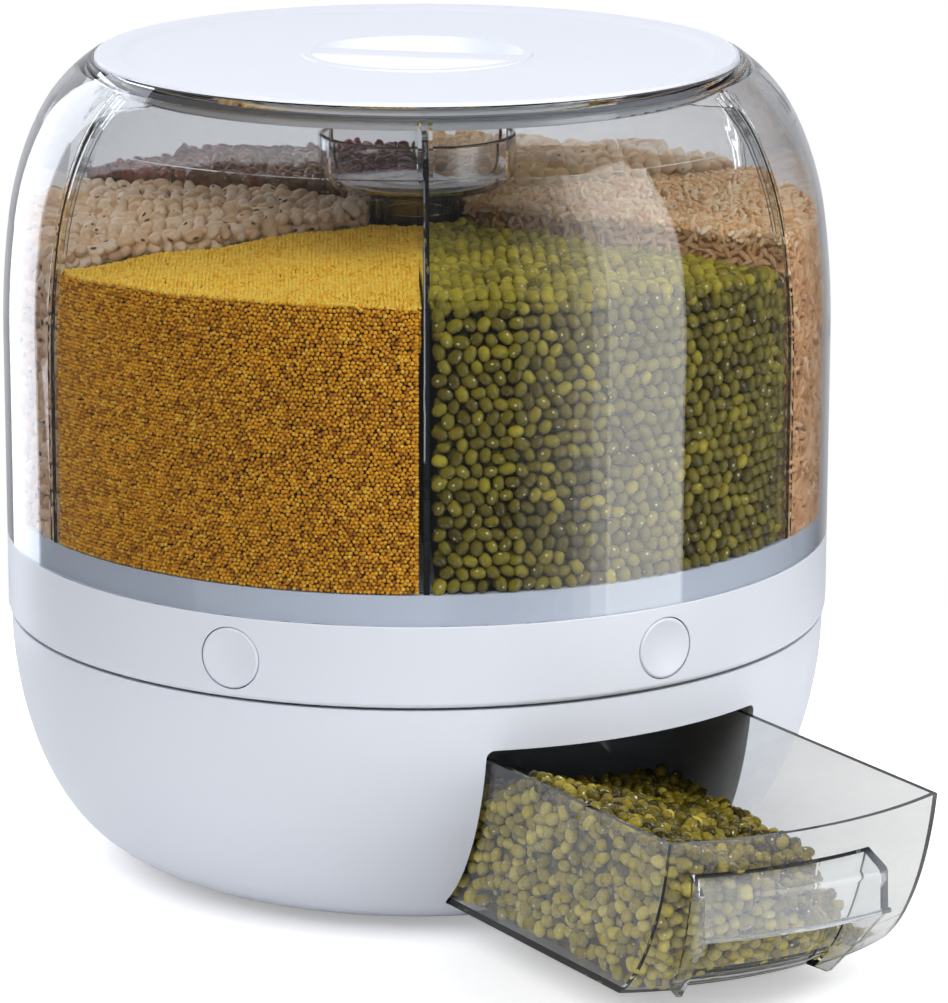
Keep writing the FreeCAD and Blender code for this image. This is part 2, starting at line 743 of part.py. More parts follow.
def clear_bucket():
    outer = bucket_arcs()
    inner = bucket_arcs(BUCKET_WALL)
    inner_end = inner[-1][2]
    shell = turned(
        [
            (BODY_RADIUS, RING_TOP),
            outer,
            (REBATE_RADIUS, outer[-1][2][1] + 0.5, 0.3),
            (REBATE_RADIUS, REBATE_LEDGE),
            (NECK_RADIUS, REBATE_LEDGE, 0.8),
            (NECK_RADIUS, NECK_END, 0.6),
            (NECK_RADIUS + NECK_WALL, NECK_END, 0.6),
            (NECK_RADIUS + NECK_WALL, inner_end[1] - 4.6, 1.5),
            backwards(bucket_arcs(BUCKET_WALL, SHOULDER_ARCS[:2] + ((SHOULDER_ARCS[2][0], 25.0),))),
            (BODY_RADIUS - BUCKET_WALL, RING_TOP),
        ]
    )
    rib_arcs = SHOULDER_ARCS[:2] + ((SHOULDER_ARCS[2][0], 24.0),)
    foot = COLLAR_TOP + 1.0
    rib_face = outline(
        [
            (BODY_RADIUS - BUCKET_WALL + 0.3, foot),
            bucket_arcs(BUCKET_WALL - 0.3, rib_arcs),
            backwards(bucket_arcs(BUCKET_WALL + RIB_DEPTH, rib_arcs)),
            (BODY_RADIUS - BUCKET_WALL - RIB_DEPTH, foot),
        ]
    )
    ribs = []
    for azimuth in divider_azimuths():
        for side in (-1, 1):
            rib = rib_face.extrude(V(0, RIB_THICKNESS, 0))
            middle = side * (DIVIDER_THICKNESS / 2 + 0.15 + RIB_THICKNESS / 2)
            rib.translate(V(0, middle - RIB_THICKNESS / 2, 0))
            ribs.append(turn_to(rib, azimuth - 90))
    return fused([shell] + ribs)


def divider_panel(azimuth):
    wall = bucket_arcs(BUCKET_WALL + DIVIDER_GAP, DIVIDER_ARCS)
    end = wall[-1][2]
    way = math.radians(90 + sum(turn for radius, turn in DIVIDER_ARCS))
    rise = DIVIDER_TOP - end[1]
    corner = (end[0] + rise / math.tan(way), DIVIDER_TOP, 5.0)
    low = COLLAR_TOP - DIVIDER_GROOVE + 0.1
    inner = COLUMN_RADIUS + 0.2
    beside_cup = CUP_RADIUS + 0.6
    under_cup = CUP_BOTTOM - 0.6
    face = outline(
        [
            (inner, low),
            (TRAY_RADIUS - 3.4, low),
            (TRAY_RADIUS - 3.4, COLLAR_TOP + 0.3),
            (BODY_RADIUS - BUCKET_WALL - DIVIDER_GAP, COLLAR_TOP + 0.3),
            wall,
            corner,
            (beside_cup, DIVIDER_TOP, 2.0),
            (beside_cup, under_cup, CUP_CORNER),
            (inner, under_cup, 4.0),
        ]
    )
    panel = face.extrude(V(0, DIVIDER_THICKNESS, 0))
    panel.translate(V(0, -DIVIDER_THICKNESS / 2, 0))
    return turn_to(panel, azimuth - 90)


def centre_column():
    """Clear tube that carries the dividers, with a pair of rails for each of them."""
    solid = ring(COLUMN_RADIUS - COLUMN_WALL, COLUMN_RADIUS, COLLAR_TOP, CUP_BOTTOM)
    rails = []
    for azimuth in divider_azimuths():
        for side in (-1, 1):
            middle = side * (DIVIDER_THICKNESS / 2 + 0.15 + 0.7)
            rail = block(COLUMN_RADIUS - 0.8, COLUMN_RADIUS + 2.4, 0.7,
                         COLLAR_TOP + 0.1, CUP_BOTTOM - 4, middle)
            rails.append(turn_to(rail, azimuth))
    return fused([solid] + rails)


def sachet_cup():
    """Open round cup for a drying sachet, with a spigot that plugs into the column."""
    bore = COLUMN_RADIUS - COLUMN_WALL - 0.1
    return turned(
        [
            (0, CUP_BOTTOM),
            (bore - 1.6, CUP_BOTTOM),
            (bore - 1.6, CUP_BOTTOM - 9.0),
            (bore, CUP_BOTTOM - 9.0, 0.6),
            (bore, CUP_BOTTOM),
            (CUP_RADIUS, CUP_BOTTOM, CUP_CORNER),
            (CUP_RADIUS, CUP_TOP, 0.9),
            (CUP_RADIUS - COLUMN_WALL, CUP_TOP, 0.9),
            (CUP_RADIUS - COLUMN_WALL, CUP_BOTTOM + COLUMN_WALL, CUP_CORNER - COLUMN_WALL),
            (0, CUP_BOTTOM + COLUMN_WALL),
        ]
    )


def lid_plate():
    """Flat white lid with a raised edge, a round finger well and a grip bar across it."""
    surface = LID_TOP - LID_DISH
    skirt_inner = PLUG_RADIUS - PLUG_WALL
    under = surface - LID_SKIN
    body = turned(
        [
            (0, under),
            (skirt_inner, under),
            (skirt_inner, PLUG_END),
            (PLUG_RADIUS, PLUG_END, 0.5),
            (PLUG_RADIUS, PLUG_END + 2.2),
            (PLUG_RADIUS - 1.0, PLUG_END + 2.2),
            (PLUG_RADIUS - 1.0, PLUG_END + 5.2),
            (PLUG_RADIUS, PLUG_END + 5.2),
            (PLUG_RADIUS, LID_UNDER),
            (LID_RADIUS, LID_UNDER, 0.5),
            (LID_RADIUS, LID_TOP, 1.4),
            (LID_RADIUS - 9.0, LID_TOP, 6.0),
            (LID_RADIUS - 13.0, surface, 6.0),
            (0, surface),
        ]
    )
    well_outer = turned(
        [
            (0, WELL_FLOOR - LID_SKIN),
            (WELL_RADIUS + LID_SKIN - 3.0, WELL_FLOOR - LID_SKIN, 3.0),
            (WELL_RADIUS + LID_SKIN, surface - 0.2),
            (WELL_RADIUS + 3.6, surface - 0.2),
            (WELL_RADIUS + 3.2, surface + 0.7, 0.4),
            (WELL_RADIUS + 0.2, surface + 0.7),
            (0, surface + 0.7),
        ]
    )
    well = turned(
        [
            (0, WELL_FLOOR),
            (WELL_RADIUS - 2.6, WELL_FLOOR, 2.0),
            (WELL_RADIUS + 0.4, LID_TOP + 1),
            (0, LID_TOP + 1),
        ]
    )
    bar_face = outline(
        [
            (-GRIP_HALF - 2.0, WELL_FLOOR - 0.5),
            (GRIP_HALF + 2.0, WELL_FLOOR - 0.5),
            (GRIP_HALF - 0.5, surface, 2.0),
            (-GRIP_HALF + 0.5, surface, 2.0),
        ]
    )
    bar = bar_face.extrude(V(0, 2 * WELL_RADIUS, 0))
    bar.translate(V(0, -WELL_RADIUS, 0))
    bar = turn_to(bar.common(ring(0, WELL_RADIUS + 1.0, WELL_FLOOR - 1, LID_TOP)), GRIP_AZIMUTH)
    hollow_face = outline(
        [
            (-GRIP_HALF, WELL_FLOOR - LID_SKIN - 1),
            (GRIP_HALF, WELL_FLOOR - LID_SKIN - 1),
            (GRIP_HALF - 2.4, surface - 2.0, 1.0),
            (-GRIP_HALF + 2.4, surface - 2.0, 1.0),
        ]
    )
    hollow = hollow_face.extrude(V(0, 2 * WELL_RADIUS - 8, 0))
    hollow.translate(V(0, 4 - WELL_RADIUS, 0))
    lid = fused([body, well_outer]).cut(well)
    return fused([lid, bar]).cut(turn_to(hollow, GRIP_AZIMUTH))


def lid_seal():
    """Silicone ring in the groove of the lid's plug."""
    root = PLUG_RADIUS - 0.9
    low = PLUG_END + 2.4
    return turned([(root, low), (SEAL_RADIUS - 0.4, low), (SEAL_RADIUS, low + 1.3, 0.5),
                   (SEAL_RADIUS - 0.4, low + 2.6), (root, low + 2.6)])


def pull_sector(items, inset):
    """Part of a turned form between the pull's two ends, each drawn in by the inset."""
    trim = math.degrees(inset / PULL_RADIUS)
    return turned(items, PULL_END - PULL_START - 2 * trim, PULL_START + trim)


def drawer_cup():
    """Clear drawer with a front that is part of the bowl's own surface, and its moulded pull."""
    block_outer = rounded_box(DRAWER_HALF, -220, DRAWER_BACK, DRAWER_BOTTOM, DRAWER_RIM, BAY_CORNER - 1.5)
    body = block_outer.common(bowl_solid(0.0))
    scoop = pull_sector(
        [(SCOOP_FOOT, 0), (BODY_RADIUS + 20, 0), (BODY_RADIUS + 20, SCOOP_TOP), (SCOOP_RADIUS - 3, SCOOP_TOP),
         (SCOOP_FOOT, DRAWER_BOTTOM)], PULL_WALL)
    scoop_skin = pull_sector(
        [(SCOOP_FOOT - 5, 0), (BODY_RADIUS + 20, 0), (BODY_RADIUS + 20, SCOOP_TOP + 2.6),
         (SCOOP_RADIUS - 4, SCOOP_TOP + 2.6), (SCOOP_FOOT - 4, DRAWER_BOTTOM + DRAWER_WALL)], 0.0)
    block_inner = rounded_box(DRAWER_HALF - DRAWER_WALL, -240, DRAWER_BACK - DRAWER_WALL,
                              DRAWER_BOTTOM + DRAWER_WALL, DRAWER_RIM + 5, BAY_CORNER - 3.5)
    cavity = block_inner.common(bowl_solid(DRAWER_WALL)).cut(scoop_skin)
    hood = pull_sector(
        [
            (PULL_LEG_RADIUS - 12, DRAWER_BOTTOM),
            (PULL_LEG_RADIUS, DRAWER_BOTTOM, 1.5),
            (PULL_RADIUS, PULL_EDGE),
            (PULL_RADIUS - 0.6, PULL_BROW, 2.5),
            (152.0, PULL_TOP),
            (PULL_LEG_RADIUS - 12, PULL_TOP),
        ],
        0.0,
    )
    gap = pull_sector(
        [
            (PULL_LEG_RADIUS - 30, 0),
            (PULL_RADIUS - PULL_WALL, 0),
            (PULL_RADIUS - PULL_WALL, PULL_EDGE),
            (PULL_RADIUS - PULL_WALL - 0.6, PULL_BROW - 1.6, 2.0),
            (152.0, PULL_TOP - 2.6),
            (PULL_LEG_RADIUS - 30, PULL_TOP - 2.6),
        ],
        PULL_WALL,
    )
    front_gap = pull_sector(
        [(PULL_LEG_RADIUS - 30, 0), (PULL_RADIUS + 5, 0), (PULL_RADIUS + 5, PULL_EDGE),
         (PULL_LEG_RADIUS - 30, PULL_EDGE)], PULL_WALL)
    lip = pull_sector(
        [
            (PULL_RADIUS - 1, PULL_EDGE),
            (PULL_RADIUS + PULL_LIP, PULL_EDGE, 0.6),
            (PULL_RADIUS + PULL_LIP, PULL_EDGE + 1.8, 0.6),
            (PULL_RADIUS - 1, PULL_EDGE + 1.8),
        ],
        0.0,
    )
    hood = hood.cut(gap).cut(front_gap)
    hood = fused([hood, lip]).cut(bowl_solid(1.0))
    drawer = fused([body.cut(scoop), hood]).cut(cavity)
    drawer.translate(V(0, -DRAWER_OUT, 0))
    return drawer


def write_step(name, shape):
    shape.exportStep(os.path.join("parts", name + ".step"))
    print(name, "valid", shape.isValid(), "solids", len(shape.Solids), "faces", len(shape.Faces),
          "volume %.0f" % shape.Volume)


def main():
    os.makedirs("parts", exist_ok=True)
    write_step("base_bowl", base_bowl())
    write_step("drawer_bay", drawer_bay())
    write_step("base_deck", base_deck())
    write_step("deck_screws", deck_screws())
    write_step("pivot_post", pivot_post())
    write_step("retaining_washer", retaining_washer())
    write_step("retaining_screw", retaining_screw())
    write_step("rubber_feet", rubber_feet())
    write_step("ball_cage", ball_cage())
    write_step("bearing_balls", bearing_balls())
    write_step("pivot_bush", pivot_bush())
    write_step("button_ring", button_ring())
    write_step("gate_guide_plate", gate_guide_plate())
    write_step("tray_screws", screws_from_below(TRAY_SCREW_CIRCLE, GUIDE_UNDER, 14))
    write_step("ring_screws", screws_from_below(RING_SCREW_CIRCLE, SHELF_UNDER, 8))
    write_step("hopper_tray", hopper_tray())
    write_step("clear_bucket", clear_bucket())
    write_step("centre_column", centre_column())
    write_step("sachet_cup", sachet_cup())
    for index, azimuth in enumerate(divider_azimuths()):
        write_step("divider_panel_%d" % (index + 1), divider_panel(azimuth))
    write_step("lid_plate", lid_plate())
    write_step("lid_seal", lid_seal())
    write_step("drawer_cup", drawer_cup())
    shell = funnel_shell()
    spout = outlet_spout()
    for index in range(COMPARTMENTS):
        write_step("funnel_%d" % (index + 1), turn_to(shell, SECTOR * index))
        write_step("outlet_spout_%d" % (index + 1), turn_to(spout, button_azimuths()[index]))
    cap = button_cap()
    gate = gate_slide()
    spring = gate_spring()
    print("gate spring: least gap between curls %.2f mm" % spring_gap())
    for index, azimuth in enumerate(button_azimuths()):
        number = index + 1
        write_step("button_cap_%d" % number, turn_to(cap, azimuth))
        write_step("gate_slide_%d" % number, turn_to(gate, azimuth))
        write_step("gate_spring_%d" % number, turn_to(spring, azimuth))


main()
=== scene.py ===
import math

import bpy
import numpy as np
from mathutils import Euler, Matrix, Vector
from mathutils.bvhtree import BVHTree
from mathutils.kdtree import KDTree


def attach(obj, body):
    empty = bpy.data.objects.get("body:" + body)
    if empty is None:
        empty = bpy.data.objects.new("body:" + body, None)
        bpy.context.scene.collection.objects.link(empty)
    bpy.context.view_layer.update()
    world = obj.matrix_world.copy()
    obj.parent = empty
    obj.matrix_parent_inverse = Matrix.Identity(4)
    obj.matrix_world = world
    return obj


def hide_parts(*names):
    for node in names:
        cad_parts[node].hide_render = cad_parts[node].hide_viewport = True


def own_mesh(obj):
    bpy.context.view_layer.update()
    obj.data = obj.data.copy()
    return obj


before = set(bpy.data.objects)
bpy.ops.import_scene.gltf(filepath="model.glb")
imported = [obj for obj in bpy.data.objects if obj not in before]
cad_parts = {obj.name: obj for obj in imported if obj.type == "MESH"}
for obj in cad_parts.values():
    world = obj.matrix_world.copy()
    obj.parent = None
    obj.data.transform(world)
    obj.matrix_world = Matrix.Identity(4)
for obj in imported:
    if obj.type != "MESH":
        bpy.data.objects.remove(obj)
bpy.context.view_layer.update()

# Sizes of the dispenser that the grain has to fit, in metres: radii and heights of the clear bucket, half
# the thickness of its dividers and of the ribs that hold them
WALL_INSIDE = 0.1578
SHOULDER_START = 0.2089
SHOULDER_RADIUS = 0.3345
GRAIN_FLOOR = 0.1422
COLUMN_OUTSIDE = 0.0200
DIVIDER_HALF = 0.0011
RIB_HALF = 0.0028
RIB_INSIDE = 0.1545
SECTOR = math.radians(60)

# The drawer as it stands out: half its width, its floor and rim, how far out it is, its back and its tip
DRAWER_SIDE = 0.0557
DRAWER_FLOOR = 0.0182
DRAWER_RIM = 0.0790
DRAWER_OUT = 0.116
DRAWER_BACK = -0.0938
DRAWER_TIP = -0.2720

# Room that seeds keep to the clear wall, and where the drawer's pull begins and is fully outside the body
WALL_GAP = 0.0002
PULL_START = 0.1555
PULL_FULL = 0.1590

# The fitted camera: its lens in pixels of the photo, its place in body radii and its turns in radians
LENS_PIXELS = 4985.0096
LONG_SIDE_PIXELS = 1003
SENSOR_MM = 36.0
BODY_RADIUS = 0.16
CAMERA_AZIMUTH = -31.2
CAMERA_DISTANCE = 11.834 * BODY_RADIUS
CAMERA_HEIGHT = (3.7185 + 0.0972) * BODY_RADIUS
CAMERA_DOWN = 0.2447
CAMERA_ASIDE = 0.0117
CAMERA_ROLL = 0.0024


def azimuth_point(azimuth, distance, height):
    """A point by its azimuth in degrees, counted from the drawer's side."""
    angle = math.radians(azimuth)
    return Vector((distance * math.sin(angle), -distance * math.cos(angle), height))


# Materials


def linear(code):
    """An sRGB hex colour as linear values, opaque."""
    parts = [int(code[i:i + 2], 16) / 255 for i in (1, 3, 5)]
    return tuple(p / 12.92 if p <= 0.04045 else ((p + 0.055) / 1.055) ** 2.4 for p in parts) + (1.0,)


def add(tree, kind, settings=None, links=None):
    """Adds a node, gives it its settings, and links its inputs to other nodes' outputs."""
    node = tree.nodes.new(kind)
    for name, value in (settings or {}).items():
        if isinstance(name, str) and hasattr(node, name):
            setattr(node, name, value)
        else:
            node.inputs[name].default_value = value
    for name, (source, output) in (links or {}).items():
        tree.links.new(source.outputs[output], node.inputs[name])
    return node


def new_material(name):
    """An empty material and its tree of nodes."""
    material = bpy.data.materials.new(name)
    material.use_nodes = True
    tree = material.node_tree
    tree.nodes.clear()
    return material, tree


def moulded_plastic(name, colour, roughness):
    """Injection moulded opaque plastic: a fine even mould texture and a slow waviness in its shine."""
    grain_mm, relief_mm = 0.35, 0.02
    material, tree = new_material(name)
    place = add(tree, "ShaderNodeTexCoord")
    fine = add(tree, "ShaderNodeTexNoise", {"Scale": 1000 / grain_mm / 2, "Detail": 2.0},
               {"Vector": (place, "Object")})
    slow = add(tree, "ShaderNodeTexNoise", {"Scale": 22.0, "Detail": 1.0}, {"Vector": (place, "Object")})
    shine = add(tree, "ShaderNodeMapRange", {"To Min": roughness - 0.03, "To Max": roughness + 0.05},
                {"Value": (slow, "Fac")})
    relief = add(tree, "ShaderNodeBump", {"Strength": 0.15, "Distance": relief_mm / 1000},
                 {"Height": (fine, "Fac")})
    body = add(tree, "ShaderNodeBsdfPrincipled", {"Base Color": linear(colour), "IOR": 1.53},
               {"Roughness": (shine, "Result"), "Normal": (relief, "Normal")})
    add(tree, "ShaderNodeOutputMaterial", None, {"Surface": (body, "BSDF")})
    return material


def clear_plastic(name, colour, ior=1.57, milky=0.0):
    """Clear moulded SAN: hard bright reflections, dark edges, and light passes through to what is inside.

    Milky is the share of pale haze in the thick walls that stand outside the body, as on the drawer's pull.
    """
    material, tree = new_material(name)
    place = add(tree, "ShaderNodeTexCoord")
    slow = add(tree, "ShaderNodeTexNoise", {"Scale": 14.0, "Detail": 1.0}, {"Vector": (place, "Object")})
    relief = add(tree, "ShaderNodeBump", {"Strength": 0.06, "Distance": 0.0006}, {"Height": (slow, "Fac")})
    wall = add(tree, "ShaderNodeBsdfPrincipled",
               {"Base Color": linear(colour), "Roughness": 0.015, "IOR": ior, "Transmission Weight": 1.0},
               {"Normal": (relief, "Normal")})
    if milky:
        shifted = add(tree, "ShaderNodeVectorMath",
                      {"operation": "MULTIPLY_ADD", 1: (1, 1, 0), 2: (0, DRAWER_OUT, 0)},
                      {0: (place, "Object")})
        away = add(tree, "ShaderNodeVectorMath", {"operation": "LENGTH"}, {0: (shifted, "Vector")})
        haze = add(tree, "ShaderNodeMapRange",
                   {"From Min": PULL_START, "From Max": PULL_FULL, "To Min": 0.0, "To Max": milky},
                   {"Value": (away, "Value")})
        pale = add(tree, "ShaderNodeBsdfDiffuse", {"Color": linear("#eef3ff")})
        wall = add(tree, "ShaderNodeMixShader", None,
                   {0: (haze, "Result"), 1: (wall, "BSDF"), 2: (pale, "BSDF")})
    through = add(tree, "ShaderNodeBsdfTransparent", {"Color": (0.96, 0.965, 0.97, 1)})
    path = add(tree, "ShaderNodeLightPath")
    both = add(tree, "ShaderNodeMixShader", None,
               {0: (path, "Is Shadow Ray"), 1: (wall, 0), 2: (through, "BSDF")})
    add(tree, "ShaderNodeOutputMaterial", None, {"Surface": (both, "Shader")})
    return material


def turned_steel(name, colour, roughness):
    """Turned or drawn steel: fine marks that make the shine uneven."""
    material, tree = new_material(name)
    place = add(tree, "ShaderNodeTexCoord")
    marks = add(tree, "ShaderNodeTexNoise", {"Scale": 900.0, "Detail": 3.0}, {"Vector": (place, "Object")})
    shine = add(tree, "ShaderNodeMapRange", {"To Min": roughness - 0.06, "To Max": roughness + 0.1},
                {"Value": (marks, "Fac")})
    body = add(tree, "ShaderNodeBsdfPrincipled", {"Base Color": linear(colour), "Metallic": 1.0},
               {"Roughness": (shine, "Result")})
    add(tree, "ShaderNodeOutputMaterial", None, {"Surface": (body, "BSDF")})
    return material


def seed_skin(name, dark, middle, pale, roughness, eye=None, mottle=0.12, coat=0.0):
    """Skin of dried seeds: each seed has its own tone, with painted light and shade added to it by where it
    lies, a faint mottle and, on a pulse, its eye.

    Eye is the mark's place on the seed, its size and its colour.
    """
    material, tree = new_material(name)
    tone_and_shade = add(tree, "ShaderNodeAttribute", {"attribute_name": "tone_and_shade"})
    own = add(tree, "ShaderNodeAttribute", {"attribute_name": "on_seed"})
    moved = add(tree, "ShaderNodeVectorMath", {"operation": "MULTIPLY_ADD", 1: (1, 1, 1)},
                {0: (own, "Vector"), 2: (tone_and_shade, "Vector")})
    spots = add(tree, "ShaderNodeTexNoise", {"Scale": 2.2, "Detail": 2.0}, {"Vector": (moved, "Vector")})
    shift = add(tree, "ShaderNodeMapRange", {"To Min": -mottle, "To Max": mottle}, {"Value": (spots, "Fac")})
    level = add(tree, "ShaderNodeMath", {"operation": "ADD", "use_clamp": True},
                {0: (tone_and_shade, "Fac"), 1: (shift, "Result")})
    ramp = add(tree, "ShaderNodeValToRGB", None, {"Fac": (level, "Value")})
    ramp.color_ramp.elements[0].color = linear(dark)
    ramp.color_ramp.elements[1].color = linear(pale)
    ramp.color_ramp.elements.new(0.5).color = linear(middle)
    colour = (ramp, "Color")
    if eye:
        place, size, eye_colour = eye
        away = add(tree, "ShaderNodeVectorMath", {"operation": "DISTANCE", 1: place}, {0: (own, "Vector")})
        inside = add(tree, "ShaderNodeMapRange", {"From Min": size, "From Max": size * 0.75},
                     {"Value": (away, "Value")})
        mark = add(tree, "ShaderNodeMix", {"data_type": "RGBA", "B": linear(eye_colour)},
                   {"Factor": (inside, "Result"), "A": colour})
        colour = (mark, "Result")
    shine = add(tree, "ShaderNodeMapRange", {"To Min": roughness - 0.06, "To Max": roughness + 0.12},
                {"Value": (spots, "Fac")})
    body = add(tree, "ShaderNodeBsdfPrincipled", {"IOR": 1.45, "Coat Weight": coat, "Coat Roughness": 0.15},
               {"Base Color": colour, "Roughness": (shine, "Result")})
    add(tree, "ShaderNodeOutputMaterial", None, {"Surface": (body, "BSDF")})
    return material


def white_floor():
    """Matt white table. The camera sees it brighten to the photo's plain white away from the shadow."""
    material, tree = new_material("floor_matt_white_card")
    place = add(tree, "ShaderNodeTexCoord")
    away = add(tree, "ShaderNodeVectorMath", {"operation": "LENGTH"}, {0: (place, "Object")})
    fade = add(tree, "ShaderNodeMapRange",
               {"From Min": 0.15, "From Max": 0.31, "To Min": 0.35, "To Max": 1.0},
               {"Value": (away, "Value")})
    body = add(tree, "ShaderNodeBsdfPrincipled", {"Base Color": linear("#f4f4f5"), "Roughness": 0.7})
    glow = add(tree, "ShaderNodeEmission", {"Color": (1, 1, 1, 1)}, {"Strength": (fade, "Result")})
    both = add(tree, "ShaderNodeAddShader", None, {0: (body, "BSDF"), 1: (glow, "Emission")})
    path = add(tree, "ShaderNodeLightPath")
    seen = add(tree, "ShaderNodeMixShader", None,
               {0: (path, "Is Camera Ray"), 1: (body, "BSDF"), 2: (both, "Shader")})
    add(tree, "ShaderNodeOutputMaterial", None, {"Surface": (seen, "Shader")})
    return material


# Cool white ABS from a satin mould: broad soft highlights
WHITE_ABS = moulded_plastic("satin_white_abs", "#d8dce5", 0.34)
# The lid's ABS is a little whiter and duller, from a finely blasted mould: an even white top
LID_ABS = moulded_plastic("smooth_white_abs", "#e9edf8", 0.40)
# The tray and its funnels are a duller ABS, with their white painted bluish grey: painted shade for the band
# under the grain, seen through the clear wall
TRAY_ABS = moulded_plastic("blue_white_abs_painted_shade", "#cbd4e3", 0.4)
# Clear SAN of the bucket, dividers, column and cup: sharp reflections and dark edges
CLEAR_SAN = clear_plastic("clear_san", "#fbfcfd")
# The drawer's SAN bends light less, which keeps its side wall clear, and its thick pull looks milky
DRAWER_SAN = clear_plastic("drawer_san", "#f7f8f6", ior=1.42, milky=0.10)
# Waxy natural acetal of the gates and the bush, and its creamier kind for the ball cage
ACETAL = moulded_plastic("natural_acetal", "#e4e4de", 0.45)
CAGE_ACETAL = moulded_plastic("cream_acetal", "#dcd8ca", 0.5)
# Matt grey rubber feet
RUBBER = moulded_plastic("grey_moulded_rubber", "#a9abb0", 0.75)
# Soft, slightly grey silicone of the lid's seal
SILICONE = moulded_plastic("milky_silicone", "#dde2e6", 0.5)
# Bright turned steel of the pivot and the balls, zinc plated screws and drawn spring wire
PIVOT_STEEL = turned_steel("turned_steel", "#c3c5c8", 0.28)
SCREW_STEEL = turned_steel("zinc_plated_steel", "#cbcdd0", 0.33)
SPRING_STEEL = turned_steel("drawn_spring_steel", "#b9babd", 0.3)

# The material of each kind of piece, by its name without its number
NODE_FINISH = {
    "base_bowl": WHITE_ABS, "drawer_bay": WHITE_ABS, "base_deck": WHITE_ABS, "button_ring": WHITE_ABS,
    "gate_guide_plate": WHITE_ABS, "button_cap": WHITE_ABS, "hopper_tray": TRAY_ABS, "lid_plate": LID_ABS,
    "clear_bucket": CLEAR_SAN, "centre_column": CLEAR_SAN, "divider_panel": CLEAR_SAN,
    "sachet_cup": CLEAR_SAN, "drawer_cup": DRAWER_SAN, "funnel": TRAY_ABS, "outlet_spout": WHITE_ABS,
    "gate_slide": ACETAL, "pivot_bush": ACETAL, "ball_cage": CAGE_ACETAL, "rubber_feet": RUBBER,
    "lid_seal": SILICONE, "pivot_post": PIVOT_STEEL, "retaining_washer": PIVOT_STEEL,
    "bearing_balls": PIVOT_STEEL, "deck_screws": SCREW_STEEL, "tray_screws": SCREW_STEEL,
    "ring_screws": SCREW_STEEL, "retaining_screw": SCREW_STEEL, "gate_spring": SPRING_STEEL,
}


def dress_nodes():
    """Gives every piece the material of its kind."""
    for name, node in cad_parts.items():
        kind = name.rstrip("0123456789").rstrip("_")
        node.data.materials.clear()
        node.data.materials.append(NODE_FINISH[kind])


def shorten_springs():
    """Gate springs: each is copied as a piece of its own that moves with its gate, and the model's spring is
    hidden.
    """
    for number in range(1, 7):
        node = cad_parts["gate_spring_%d" % number]
        deselect()
        spring = bpy.data.objects.new("wound_spring_%d" % number, node.data.copy())
        bpy.context.scene.collection.objects.link(spring)
        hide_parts(node.name)
        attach(spring, "gate_%d" % number)
        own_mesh(spring)


# One seed of each kind, modelled about the origin with its long axis on X, in metres


def deselect():
    """Leaves edit mode and selects nothing."""
    if bpy.context.mode != "OBJECT":
        bpy.ops.object.mode_set(mode="OBJECT")
    bpy.ops.object.select_all(action="DESELECT")


def take_seed():
    """Takes the modelled seed out of the scene as plain points and faces, which come in a fixed order."""
    bpy.ops.object.mode_set(mode="OBJECT")
    seed = bpy.context.object
    points = np.array([v.co[:] for v in seed.data.vertices])
    faces = sorted(tuple(p.vertices) for p in seed.data.polygons)
    bpy.data.objects.remove(seed)
    return points, faces


def start_seed(half_sizes, segments=8, rings=6):
    """A smooth seed of the given half sizes, in edit mode and ready to be shaped."""
    deselect()
    bpy.ops.mesh.primitive_uv_sphere_add(segments=segments, ring_count=rings, radius=1.0,
                                         rotation=(0, math.pi / 2, 0))
    bpy.ops.object.transform_apply(location=False, rotation=True, scale=False)
    bpy.ops.object.mode_set(mode="EDIT")
    bpy.ops.mesh.select_all(action="SELECT")
    bpy.ops.transform.resize(value=half_sizes)


def pick(rule):
    """Selects the points of the seed in edit mode that the rule holds for."""
    bpy.ops.mesh.select_all(action="DESELECT")
    bpy.ops.mesh.select_mode(type="VERT")
    bpy.ops.object.mode_set(mode="OBJECT")
    for vertex in bpy.context.object.data.vertices:
        vertex.select = bool(rule(vertex.co))
    bpy.ops.object.mode_set(mode="EDIT")


def mung_bean():
    """A small barrel with blunt ends."""
    start_seed((0.00300, 0.00235, 0.00235))
    pick(lambda p: abs(p.x) > 0.0012 and abs(p.x) < 0.0029)
    bpy.ops.transform.resize(value=(1.06, 1.07, 1.07))
    return take_seed()


def kidney_bean(length, width, thickness, notch):
    """A bean drawn in on the side of its eye."""
    start_seed((length / 2, width / 2, thickness / 2))
    pick(lambda p: p.y > width * 0.2 and abs(p.x) < length * 0.25)
    bpy.ops.transform.translate(value=(0, -notch, 0))
    return take_seed()


def round_pea(radius):
    """A nearly round pea with a small beak."""
    start_seed((radius * 1.04, radius, radius * 0.97))
    pick(lambda p: p.x > radius * 0.95)
    bpy.ops.transform.translate(value=(radius * 0.14, 0, 0))
    return take_seed()


def rice_grain():
    """A slender grain with a crease along one side."""
    start_seed((0.0034, 0.00125, 0.00105), 6, 5)
    pick(lambda p: p.z > 0.0006 and abs(p.y) < 0.0003)
    bpy.ops.transform.translate(value=(0, 0, -0.0002))
    return take_seed()


def millet_grain():
    """A tiny grain, a little longer than it is thick."""
    deselect()
    bpy.ops.mesh.primitive_ico_sphere_add(subdivisions=1, radius=0.00087)
    bpy.ops.object.mode_set(mode="EDIT")
    bpy.ops.mesh.select_all(action="SELECT")
    bpy.ops.transform.resize(value=(1.08, 1.0, 0.94))
    return take_seed()


# Pouring: seeds settle side by side on a surface, then turn at random


def scatter(chance, low, high, gap):
    """Places in rows side by side between two corners, each moved a little at random."""
    rows = int((high[1] - low[1]) / (gap * 0.87)) + 1
    across = np.arange(low[0], high[0] + gap, gap)
    places = np.array([(x + gap / 2 * (row % 2),
                        low[1] + row * gap * 0.87) for row in range(rows) for x in across])
    return places + chance.uniform(-0.3, 0.3, places.shape) * gap


